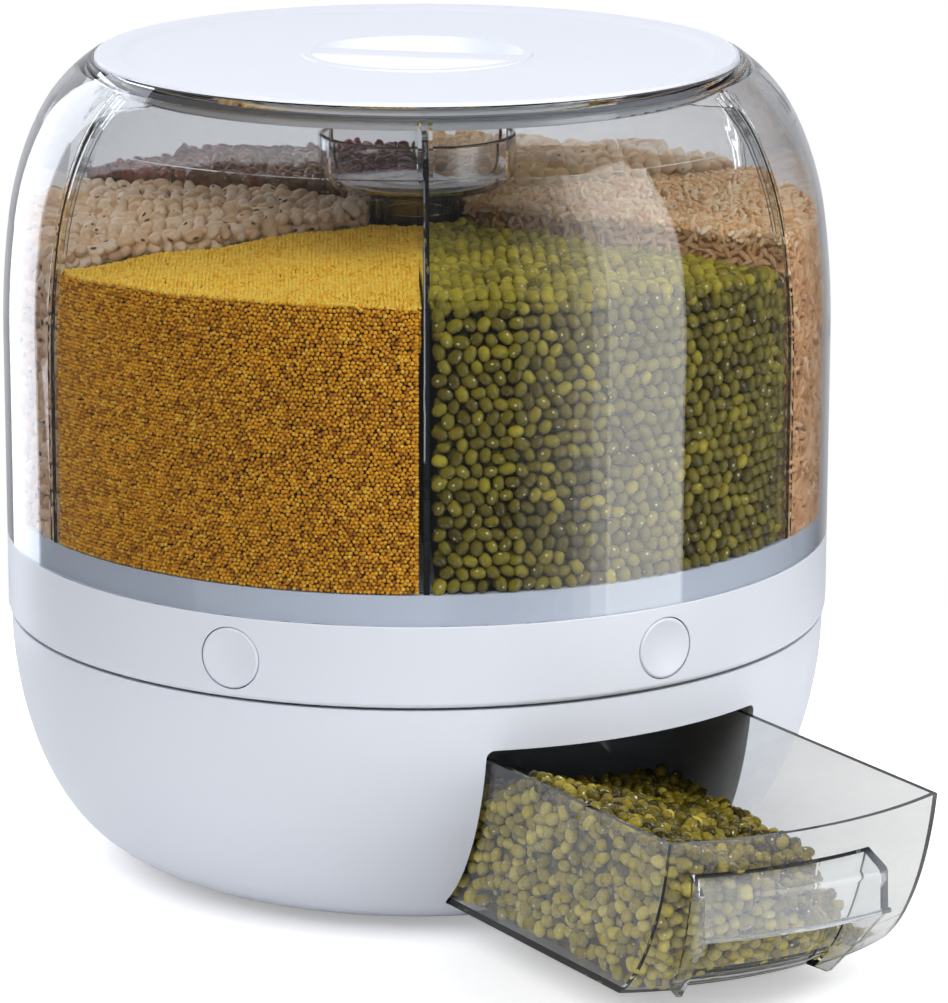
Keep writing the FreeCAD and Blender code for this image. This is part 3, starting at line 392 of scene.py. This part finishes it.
def settle(points, keep_inside, gap, rounds):
    """Pushes points apart until neighbours stand about one gap from each other."""
    for _ in range(rounds):
        tree = KDTree(len(points))
        for index, point in enumerate(points):
            tree.insert((point[0], point[1], 0), index)
        tree.balance()
        moved = points.copy()
        for index, point in enumerate(points):
            push_x = push_y = 0.0
            for other, number, distance in tree.find_n((point[0], point[1], 0), 7):
                if number != index and distance < gap:
                    share = (gap - distance) / max(distance, 1e-7) * 0.45
                    push_x += (point[0] - other[0]) * share
                    push_y += (point[1] - other[1]) * share
            moved[index] = (point[0] + push_x, point[1] + push_y)
        points = keep_inside(moved)
    return points


def pour(name, seed, places, normals, lie, painted_light_shift, number, wall=None):
    """One mesh of many seeds. Lie is how flat they lie on the surface: 1 is flat, 0 is any way round.

    Painted light shift makes them paler or darker, as painted light and shade by where they lie, and wall
    gives the radius that holds every seed at a height.
    """
    chance = np.random.RandomState(number)
    points, faces = seed
    count = len(places)
    size = chance.normal(1.0, 0.06, (count, 1)).clip(0.84, 1.14)
    normals = np.asarray(normals, float)
    helper = np.where(np.abs(normals[:, 2:3]) > 0.9, (1.0, 0, 0), (0, 0, 1.0))
    across = np.cross(helper, normals)
    across /= np.linalg.norm(across, axis=1, keepdims=True)
    along = np.cross(normals, across)
    spin = chance.uniform(0, 2 * math.pi, (count, 1))
    tilt = chance.normal(0, 1.0, (count, 1)) * (1 - lie)
    flat_axis = across * np.cos(spin) + along * np.sin(spin)
    side_axis = np.cross(normals, flat_axis)
    long_axis = flat_axis * np.cos(tilt) + normals * np.sin(tilt)
    roll = chance.uniform(0, 2 * math.pi, (count, 1))
    third = np.cross(long_axis, side_axis)
    side = side_axis * np.cos(roll) + third * np.sin(roll)
    up = np.cross(long_axis, side)
    local = points[None, :, :] * size[:, :, None]
    world = (places[:, None, :] + local[..., 0:1] * long_axis[:, None, :] + local[..., 1:2] * side[:, None, :]
             + local[..., 2:3] * up[:, None, :])
    if wall:
        reach = np.hypot(world[..., 0], world[..., 1])
        beyond = (reach - wall(world[..., 2])).max(1).clip(0.0, None)
        away = np.hypot(places[:, 0], places[:, 1])
        world[..., 0] -= (beyond * places[:, 0] / away)[:, None]
        world[..., 1] -= (beyond * places[:, 1] / away)[:, None]
    corners = np.array([c for f in faces for c in f])
    lengths = np.array([len(f) for f in faces])
    mesh = bpy.data.meshes.new(name)
    mesh.vertices.add(count * len(points))
    mesh.vertices.foreach_set("co", world.reshape(-1))
    mesh.loops.add(count * len(corners))
    mesh.loops.foreach_set("vertex_index", (np.arange(count)[:, None] * len(points) + corners).reshape(-1))
    starts = np.concatenate([[0], np.cumsum(lengths)[:-1]])
    mesh.polygons.add(count * len(faces))
    mesh.polygons.foreach_set("loop_start", (np.arange(count)[:, None] * len(corners) + starts).reshape(-1))
    mesh.update(calc_edges=True)
    # Each seed's own random tone, moved by the painted light shift
    tone_and_shade = chance.normal(0.5 + painted_light_shift, 0.19, count).clip(0.02, 0.98)
    attribute = mesh.attributes.new("tone_and_shade", "FLOAT", "POINT")
    attribute.data.foreach_set("value", np.repeat(tone_and_shade, len(points)).astype(np.float32))
    own = points / np.abs(points).max(0)
    attribute = mesh.attributes.new("on_seed", "FLOAT_VECTOR", "POINT")
    attribute.data.foreach_set("vector", np.tile(own, (count, 1)).reshape(-1).astype(np.float32))
    mesh.polygons.foreach_set("use_smooth", np.ones(len(mesh.polygons), bool))
    mesh.update()
    piece = bpy.data.objects.new(name, mesh)
    bpy.context.scene.collection.objects.link(piece)
    return piece


def wall_radius(height):
    """Inner radius of the clear wall at a height, in its straight part and the start of its shoulder."""
    rise = np.clip(np.asarray(height, float) - SHOULDER_START, 0.0, SHOULDER_RADIUS)
    return WALL_INSIDE - (SHOULDER_RADIUS - np.sqrt(SHOULDER_RADIUS ** 2 - rise ** 2))


def inside_wall(height):
    """How far from the axis a seed may reach at a height."""
    return wall_radius(height) - WALL_GAP


def add_mass(name, verts, faces, skin, body):
    """A closed body of deep grain behind the outer seeds."""
    mesh = bpy.data.meshes.new(name + "_mass")
    mesh.from_pydata([tuple(p) for p in verts], [], faces)
    mass = bpy.data.objects.new(name + "_mass", mesh)
    bpy.context.scene.collection.objects.link(mass)
    mesh.materials.append(skin)
    deselect()
    bpy.context.view_layer.objects.active = mass
    mass.select_set(True)
    bpy.ops.object.mode_set(mode="EDIT")
    bpy.ops.mesh.select_all(action="SELECT")
    bpy.ops.mesh.normals_make_consistent(inside=False)
    bpy.ops.object.mode_set(mode="OBJECT")
    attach(mass, body)


class Compartment:
    """One sector of the bucket. Its own x runs across it and its own y away from the axis."""

    def __init__(self, middle, top, slope, number):
        self.centre = math.radians(middle)
        self.top = top
        self.slope = slope
        self.number = number

    def surface(self, x, y):
        """Height of the heap, which rises towards the column and from left to right, a little uneven."""
        away = np.hypot(x, y)
        return (self.top + self.slope[0] * (1 - away / WALL_INSIDE) + self.slope[1] * (x / WALL_INSIDE)
                + 0.0012 * np.sin(x * 95 + self.number) * np.cos(y * 80 + 2 * self.number))

    def to_world(self, x, y, z):
        """Points or directions of the compartment, turned to its place in the bucket."""
        cosine, sine = math.cos(self.centre), math.sin(self.centre)
        return np.stack([x * cosine + y * sine, x * sine - y * cosine, z], -1)


def push_rounds(gap):
    """How often seeds are pushed apart: tiny grain stays more uneven."""
    return 1 if gap < 0.002 else 4


def beside_divider(x, y, room):
    """Keeps points of a compartment clear of its two divider walls."""
    for side in (-1, 1):
        normal = (math.cos(SECTOR / 2) * side, -math.sin(SECTOR / 2))
        beyond = x * normal[0] + y * normal[1] + room
        push = np.maximum(0, beyond)
        x = x - push * normal[0]
        y = y - push * normal[1]
    return x, y


def wall_layer(sector, chance, gap, thickness, layer):
    """Places and outward directions of the seeds that press against the clear wall."""
    half = thickness / 2
    inset = half + 0.0003 + layer * thickness * 0.8
    reach = RIB_INSIDE if layer else WALL_INSIDE
    span = (SECTOR / 2 - math.asin((RIB_HALF + half * 0.85) / reach)) * WALL_INSIDE
    low = GRAIN_FLOOR + half
    high = sector.top + sector.slope[1] + 0.004
    flat = scatter(chance, (-span, low), (span, high), gap)

    def keep(points):
        points[:, 0] = points[:, 0].clip(-span, span)
        points[:, 1] = points[:, 1].clip(low, None)
        return points

    flat = settle(flat, keep, gap, push_rounds(gap))
    turn = flat[:, 0] / WALL_INSIDE
    height = flat[:, 1]
    radius = wall_radius(height) - inset - chance.uniform(0, thickness * 0.12, len(height))
    x, y = radius * np.sin(turn), radius * np.cos(turn)
    kept = height < sector.surface(x, y) - half * 0.4
    x, y, height, turn = x[kept], y[kept], height[kept], turn[kept]
    return sector.to_world(x, y, height), sector.to_world(np.sin(turn), np.cos(turn), np.zeros(len(turn)))


def heap_layer(sector, chance, gap, thickness, layer):
    """Places and upward directions of the seeds on the heap's top."""
    half = thickness / 2
    room = DIVIDER_HALF + half + 0.0004
    limit = wall_radius(sector.top) - half - 0.0005
    flat = scatter(chance, (-WALL_INSIDE / 2, COLUMN_OUTSIDE * 0.7), (WALL_INSIDE / 2, WALL_INSIDE), gap)
    away = np.hypot(flat[:, 0], flat[:, 1])
    aside = np.abs(np.arctan2(flat[:, 0], flat[:, 1]))
    flat = flat[(aside < SECTOR / 2) & (away > COLUMN_OUTSIDE) & (away < WALL_INSIDE - half)]

    def keep_on_heap(points):
        x, y = beside_divider(points[:, 0], points[:, 1], room)
        away = np.hypot(x, y)
        new = away.clip(COLUMN_OUTSIDE + half, limit)
        return np.stack([x * new / away, y * new / away], -1)

    flat = settle(keep_on_heap(flat), keep_on_heap, gap, push_rounds(gap))
    x, y = flat[:, 0], flat[:, 1]
    sunk = half * 0.6 + layer * thickness * 0.75
    height = sector.surface(x, y) - sunk + chance.uniform(-0.25, 0.35, len(x)) * half
    away = np.hypot(x, y)
    shrink = np.minimum(1.0, (wall_radius(height) - half - 0.0004) / away)
    x, y = x * shrink, y * shrink
    near_wall = away > RIB_INSIDE - half
    beside = beside_divider(x, y, RIB_HALF + half + 0.0004)
    x, y = np.where(near_wall, beside[0], x), np.where(near_wall, beside[1], y)
    return sector.to_world(x, y, height), np.tile((0.0, 0.0, 1.0), (len(x), 1))


def side_layer(sector, chance, gap, thickness, side):
    """Places and directions of the heap's topmost seeds beside one divider, seen through it."""
    half = thickness / 2
    flat = scatter(chance, (COLUMN_OUTSIDE + 2 * half, half), (RIB_INSIDE - thickness, 0.016), gap)
    away = flat[:, 0]
    offset = DIVIDER_HALF + half + 0.0005 + chance.uniform(0, half * 0.3, len(away))
    x = side * (away * math.sin(SECTOR / 2) - offset * math.cos(SECTOR / 2))
    y = away * math.cos(SECTOR / 2) + offset * math.sin(SECTOR / 2)
    height = sector.surface(x, y) - flat[:, 1] - half
    across = sector.to_world(side * math.cos(SECTOR / 2), -math.sin(SECTOR / 2), 0.0)
    return sector.to_world(x, y, height), np.tile(across, (len(x), 1))


def closed_block(verts, rows, columns, side_step=1):
    """Faces of a block between two grids of points, which follow each other in the list.

    Side step is the direction round the grids in which its sides are closed, 1 or -1.
    """
    base = len(verts) // 2
    width = columns + 1
    faces = []
    for row in range(rows):
        for index in range(columns):
            a = row * width + index
            faces.append((a, a + 1, a + width + 1, a + width))
            faces.append((base + a, base + a + width, base + a + width + 1, base + a + 1))
    rim = (list(range(columns)) + [row * width + columns for row in range(rows)]
           + [rows * width + index for index in range(columns, 0, -1)]
           + [row * width for row in range(rows, 0, -1)])
    rim = rim[::side_step]
    for here, there in zip(rim, rim[1:] + rim[:1]):
        faces.append((there, here, base + here, base + there))
    return faces


def sector_block(sector, inset):
    """Points of the deep grain in a compartment: its top first, then its floor."""
    rows, columns = 8, 24
    outer = WALL_INSIDE - inset - 0.0022
    inner = COLUMN_OUTSIDE + 0.001
    outer_edge = SECTOR / 2 - math.asin((RIB_HALF + 0.0006) / outer)
    inner_edge = SECTOR / 2 - math.asin(min(0.9, (DIVIDER_HALF + 0.0010) / inner))
    verts = []
    for row in range(rows + 1):
        share = row / rows
        for index in range(columns + 1):
            turn = -outer_edge + 2 * outer_edge * index / columns
            a = np.array((outer * math.sin(turn), outer * math.cos(turn)))
            turn = -inner_edge + 2 * inner_edge * index / columns
            b = np.array((inner * math.sin(turn), inner * math.cos(turn)))
            p = a * (1 - share) + b * share
            verts.append((p[0], p[1], float(sector.surface(p[0], p[1])) - inset * 0.9))
    verts += [(x, y, GRAIN_FLOOR + 0.0004) for x, y, z in verts]
    return sector.to_world(*np.array(verts).T), closed_block(verts, rows, columns)


def fill_compartment(name, middle, seed, skin, gap, thickness, top, slope, bulk_skin, number, lie=0.8,
                     layers=2, shade=(-0.10, 0.22)):
    """Grain in one compartment: a layer against the clear wall, the heap's top, and the mass behind them."""
    chance = np.random.RandomState(number)
    sector = Compartment(middle, top, slope, number)
    pieces = []
    # Painted light and shade: seeds against the wall and beside the dividers take the first shade, darker,
    # seeds on the heap's top the second, paler, and each deeper layer is painted 0.12 darker
    for layer in range(layers):
        places, out = wall_layer(sector, chance, gap, thickness, layer)
        pieces.append(pour("%s_wall_%d" % (name, layer + 1), seed, places, out, lie, shade[0] - 0.12 * layer,
                           number + layer, inside_wall))
    for layer in range(layers):
        places, up = heap_layer(sector, chance, gap, thickness, layer)
        pieces.append(pour("%s_top_%d" % (name, layer + 1), seed, places, up, lie * 0.6,
                           shade[1] - 0.12 * layer, number + 7 + layer, inside_wall))
    for side, word in ((-1, "left"), (1, "right")):
        places, out = side_layer(sector, chance, gap, thickness, side)
        pieces.append(pour("%s_side_%s" % (name, word), seed, places, out, lie, shade[0], number + 30 + side,
                           inside_wall))
    for piece in pieces:
        piece.data.materials.append(skin)
        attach(piece, "turret")
    inset = thickness * (0.55 + 0.8 * (layers - 1)) + 0.0005
    places, faces = sector_block(sector, inset)
    add_mass(name, places, faces, bulk_skin, "turret")


def drawer_heap(x, y):
    """Height of the beans in the open drawer: banked up at the left and front, low along the right wall.

    Each list holds distances from the axis towards the front, and the heap's heights there.
    """
    left = np.interp(-y, (0.095, 0.120, 0.145, 0.152, 0.165, 0.270),
                     (0.055, 0.060, 0.068, 0.073, 0.0775, 0.0775))
    right = np.interp(-y, (0.095, 0.136, 0.174, 0.187, 0.214, 0.270),
                      (0.0445, 0.042, 0.0405, 0.039, 0.020, 0.014))
    share = (x + DRAWER_SIDE) / (2 * DRAWER_SIDE)
    share = share * share * (3 - 2 * share) * 0.5 + share * 0.5
    return left * (1 - share) + right * share + 0.0010 * np.sin(x * 160) * np.cos(y * 130)


def loose_beans(walls, chance, gap, half, depth):
    """Places of the drawer's beans near its walls and the heap's top, pushed apart to lie side by side."""
    low = np.array((-DRAWER_SIDE + half, DRAWER_TIP, DRAWER_FLOOR + half))
    high = np.array((DRAWER_SIDE - half, DRAWER_BACK - half, DRAWER_RIM))

    def in_drawer(point):
        """True where nothing but the back wall stands between the point and the drawer's back."""
        place = walls.ray_cast(point, (0, 1, 0))[0]
        return place is not None and place.y > DRAWER_BACK - 0.002

    def hold(points):
        points = points.clip(low, high)
        top = drawer_heap(points[:, 0], points[:, 1]) - half * 0.4
        points[:, 2] = np.maximum(np.minimum(points[:, 2], top), low[2])
        for index, point in enumerate(points):
            place, normal = walls.find_nearest(point, half)[:2]
            if place is not None and (Vector(point) - place).dot(normal) > 0:
                points[index] = place + normal * half
        return points

    filled = 0.54
    count = int(np.prod(high - low) / (gap ** 3 * filled))
    points = chance.uniform(low, high, (count, 3))
    points = points[points[:, 2] < drawer_heap(points[:, 0], points[:, 1])]
    near_top = drawer_heap(points[:, 0], points[:, 1]) - points[:, 2] < depth
    near_side = np.abs(points[:, 0]) > DRAWER_SIDE - depth
    near_front = np.array([walls.ray_cast(p, (0, -1, 0), depth)[0] is not None for p in points])
    points = points[near_top | near_side | near_front]
    points = np.array([p for p in points if in_drawer(p)])
    for _ in range(10):
        tree = KDTree(len(points))
        for index, point in enumerate(points):
            tree.insert(point, index)
        tree.balance()
        moved = points.copy()
        for index, point in enumerate(points):
            for other, number, distance in tree.find_n(point, 9):
                if number != index and distance < gap:
                    moved[index] += (point - np.array(other)) * (gap - distance) / max(distance, 1e-6) * 0.4
        points = hold(moved)
    return np.array([p for p in points if in_drawer(p)])


def drawer_block(walls, inset):
    """Points of the deep grain in the drawer: its floor first, then its top."""
    rows, columns = 20, 14
    verts = []
    for level in (0, 1):
        for i in range(rows + 1):
            for j in range(columns + 1):
                x = (DRAWER_SIDE - inset) * (2 * j / columns - 1)
                front = walls.ray_cast((x, -0.15, DRAWER_FLOOR + 0.004), (0, -1, 0))[0].y + inset
                y = front + (DRAWER_BACK - inset - front) * i / rows
                height = max(drawer_heap(x, y) - inset, DRAWER_FLOOR + 0.0012)
                verts.append((x, y, float(height) if level else DRAWER_FLOOR + 0.0006))
    return verts, closed_block(verts, rows, columns, -1)


def fill_drawer(seed, skin, bulk_skin):
    """Beans in the drawer: those near a clear wall or the heap's top, and the mass inside them."""
    gap, half, depth = 0.0051, 0.0023, 0.0068
    chance = np.random.RandomState(5)
    walls = BVHTree.FromObject(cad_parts["drawer_cup"], bpy.context.evaluated_depsgraph_get())
    points = loose_beans(walls, chance, gap, half, depth)
    order = np.argsort(points[:, 1])
    for number, part in enumerate((order[:len(points) // 2], order[len(points) // 2:])):
        up = np.tile((0.0, 0.0, 1.0), (len(part), 1))
        # Painted light and shade: beans at the heap's top are painted darker, beans deeper down along the
        # clear walls paler
        below = drawer_heap(points[part, 0], points[part, 1]) - points[part, 2]
        shift = np.where(below < gap * 0.9, -0.25, 0.17)
        piece = pour("mung_beans_drawer_%d" % (number + 1), seed, points[part], up, 0.3, shift, 91 + number)
        piece.data.materials.append(skin)
        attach(piece, "drawer")
    verts, faces = drawer_block(walls, depth * 0.62)
    add_mass("mung_beans_drawer", verts, faces, bulk_skin, "drawer")


def grain_mass(name, dark, pale, grain_mm):
    """Deep grain seen in the gaps between the outer seeds, in painted shade: dark, with the seeds' own
    pattern of cells painted pale in their middles and dark at their edges.
    """
    material, tree = new_material(name)
    place = add(tree, "ShaderNodeTexCoord")
    cells = add(tree, "ShaderNodeTexVoronoi", {"Scale": 1000 / grain_mm}, {"Vector": (place, "Object")})
    ramp = add(tree, "ShaderNodeValToRGB", None, {"Fac": (cells, "Distance")})
    ramp.color_ramp.elements[0].color = linear(pale)
    ramp.color_ramp.elements[1].color = linear(dark)
    ramp.color_ramp.elements[1].position = 0.55
    body = add(tree, "ShaderNodeBsdfPrincipled", {"Roughness": 0.7}, {"Base Color": (ramp, "Color")})
    add(tree, "ShaderNodeOutputMaterial", None, {"Surface": (body, "BSDF")})
    return material


def fill_compartments():
    """Each compartment: its kind's size and spacing, the heap's height and slopes, and its own number."""
    mung = mung_bean()
    skin = seed_skin("dried_mung_bean", "#3b3209", "#766c1a", "#aa9c2c", 0.3,
                     eye=((0.1, 1.0, 0.0), 0.2, "#cdc7a4"), coat=0.25)
    fill_compartment("mung_beans", 0, mung, skin, gap=0.0055, thickness=0.0046, top=0.2490,
                     slope=(0.003, -0.008), bulk_skin=grain_mass("mung_bean_mass", "#0c0b06", "#29260c", 5.2),
                     number=11)
    skin = seed_skin("hulled_millet", "#a36006", "#f4b01e", "#ffdc58", 0.42, mottle=0.06)
    fill_compartment("millet", -60, millet_grain(), skin, gap=0.00164, thickness=0.0017, top=0.2475,
                     slope=(0.003, 0.002), bulk_skin=grain_mass("millet_mass", "#50300a", "#b07a1c", 1.8),
                     number=23, layers=1, shade=(-0.12, 0.36))
    skin = seed_skin("oat_groats", "#bc8450", "#f3c18c", "#ffe9c6", 0.45)
    fill_compartment("oat_groats", 60, rice_grain(), skin, gap=0.0034, thickness=0.0023, top=0.2560,
                     slope=(0.004, 0.0), bulk_skin=grain_mass("oat_mass", "#8a5c34", "#cf9c66", 3.0),
                     number=37, lie=0.9)
    skin = seed_skin("dried_soybeans", "#cf9c6c", "#f4cc9e", "#ffe9c8", 0.36,
                     eye=((0.9, 0.5, 0.0), 0.22, "#8d6a44"), coat=0.2)
    fill_compartment("soybeans", 120, round_pea(0.0038), skin, gap=0.0076, thickness=0.0076, top=0.2600,
                     slope=(0.006, 0.0), bulk_skin=grain_mass("soybean_mass", "#86623e", "#caa074", 7.5),
                     number=41)
    skin = seed_skin("dried_red_beans", "#2a080c", "#5c1a20", "#8a2e34", 0.2,
                     eye=((0.0, 1.0, 0.0), 0.25, "#d8cdbf"), coat=0.5)
    fill_compartment("red_beans", 180, kidney_bean(0.0080, 0.0055, 0.0050, 0.0004), skin, gap=0.0062,
                     thickness=0.0052, top=0.2560, slope=(0.006, 0.0),
                     bulk_skin=grain_mass("red_bean_mass", "#150607", "#2e1012", 6.0), number=53)
    skin = seed_skin("black_eyed_peas", "#b98e6c", "#e6c3a0", "#f9e4cc", 0.42,
                     eye=((0.0, 0.8, 0.0), 0.32, "#4a3626"))
    fill_compartment("black_eyed_peas", 240, kidney_bean(0.0082, 0.0058, 0.0050, 0.0007), skin, gap=0.0061,
                     thickness=0.0051, top=0.2530, slope=(0.004, 0.0),
                     bulk_skin=grain_mass("black_eyed_pea_mass", "#8a7050", "#cdb48c", 6.5), number=67)
    # The open drawer's beans have a wider range of tones, which carries their painted shade at the heap's top
    # and painted light along the walls
    skin = seed_skin("loose_mung_bean", "#2c2404", "#8a7b1e", "#d8c75a", 0.24,
                     eye=((0.1, 1.0, 0.0), 0.2, "#dcd8bb"), coat=0.4)
    fill_drawer(mung, skin, grain_mass("loose_mung_bean_mass", "#2e290c", "#7c7133", 5.2))


# Stage, light and camera


def build_stage():
    """The round white table top that the dispenser stands on."""
    deselect()
    bpy.ops.mesh.primitive_circle_add(vertices=96, radius=0.45, fill_type="NGON",
                                      location=(0, -0.05, -0.0002))
    floor = bpy.context.object
    floor.name = "floor"
    floor.data.materials.append(white_floor())


def softbox(name, place, target, size, power, colour="#ffffff"):
    """A lamp with a flat rectangular face that is turned to its target."""
    light = bpy.data.lights.new(name, "AREA")
    light.shape = "RECTANGLE"
    light.size, light.size_y = size
    light.energy = power
    light.color = linear(colour)[:3]
    lamp = bpy.data.objects.new(name, light)
    lamp.location = place
    lamp.rotation_euler = (Vector(target) - Vector(place)).to_track_quat("-Z", "Y").to_euler()
    bpy.context.scene.collection.objects.link(lamp)
    return lamp


def build_light():
    """A dim room with a white screen behind the table, and tall soft boxes that reach below the table."""
    world = bpy.data.worlds.new("studio")
    bpy.context.scene.world = world
    world.use_nodes = True
    tree = world.node_tree
    tree.nodes.clear()
    place = add(tree, "ShaderNodeTexCoord")
    behind = tuple(-azimuth_point(CAMERA_AZIMUTH, 1.0, 0.0))
    facing = add(tree, "ShaderNodeVectorMath", {"operation": "DOT_PRODUCT", 1: behind},
                 {0: (place, "Generated")})
    level = add(tree, "ShaderNodeMapRange",
                {"From Min": 0.84, "From Max": 0.97, "To Min": 0.10, "To Max": 0.68},
                {"Value": (facing, "Value")})
    room = add(tree, "ShaderNodeBackground", {"Color": linear("#eff1f6")}, {"Strength": (level, "Result")})
    white = add(tree, "ShaderNodeBackground", {"Color": (1, 1, 1, 1), "Strength": 1.0})
    path = add(tree, "ShaderNodeLightPath")
    seen = add(tree, "ShaderNodeMixShader", None,
               {0: (path, "Is Camera Ray"), 1: (room, "Background"), 2: (white, "Background")})
    add(tree, "ShaderNodeOutputWorld", None, {"Surface": (seen, "Shader")})
    centre = (0, 0, 0.55)
    softbox("window_right", azimuth_point(31, 1.4, 0.55), centre, (0.58, 1.70), 7.2)
    for strip in range(5):
        softbox("curtain_%d" % (strip + 1), azimuth_point(17 - 5 * strip, 1.4, 0.55), centre, (0.122, 1.70),
                1.1 * 0.55 ** strip)
    softbox("window_left", azimuth_point(-168, 1.4, 0.55), centre, (0.60, 1.70), 7.0, "#eef4ff")
    back = softbox("back", azimuth_point(165, 1.5, 0.75), (0, 0, 0.2), (2.2, 0.9), 22)
    front = softbox("front", azimuth_point(-50, 1.30, 1.42), (0, 0, 0.15), (1.6, 1.2), 26)
    low = softbox("low", azimuth_point(12, 1.3, 0.30), (0, 0, 0.06), (0.5, 0.3), 0.9)
    left = softbox("left", azimuth_point(-88, 1.5, 0.75), (0, 0, 0.12), (0.8, 0.6), 2)
    key = softbox("key", azimuth_point(35, 1.25, 1.25), (0, 0, 0.15), (0.6, 0.6), 8)
    for lamp in (back, front, low, left, key):
        lamp.visible_glossy = False
        lamp.visible_transmission = False


def build_camera():
    """Camera of the photo: 31 degrees to the left of the drawer's side, 14 degrees down."""
    camera = bpy.data.cameras.new("camera")
    camera.sensor_fit = "AUTO"
    camera.sensor_width = SENSOR_MM
    camera.lens = LENS_PIXELS / LONG_SIDE_PIXELS * SENSOR_MM
    camera.clip_start = 0.05
    seat = bpy.data.objects.new("camera", camera)
    heading = math.radians(CAMERA_AZIMUTH)
    seat.location = azimuth_point(CAMERA_AZIMUTH, CAMERA_DISTANCE, CAMERA_HEIGHT)
    turn = Euler((math.pi / 2 - CAMERA_DOWN, 0, heading - CAMERA_ASIDE), "XYZ").to_matrix()
    roll = Euler((0, 0, CAMERA_ROLL), "XYZ").to_matrix()
    seat.rotation_euler = (turn @ roll).to_euler()
    bpy.context.scene.collection.objects.link(seat)
    bpy.context.scene.camera = seat


dress_nodes()
shorten_springs()
fill_compartments()
build_stage()
build_light()
build_camera()
bpy.context.scene.view_settings.view_transform = "Standard"
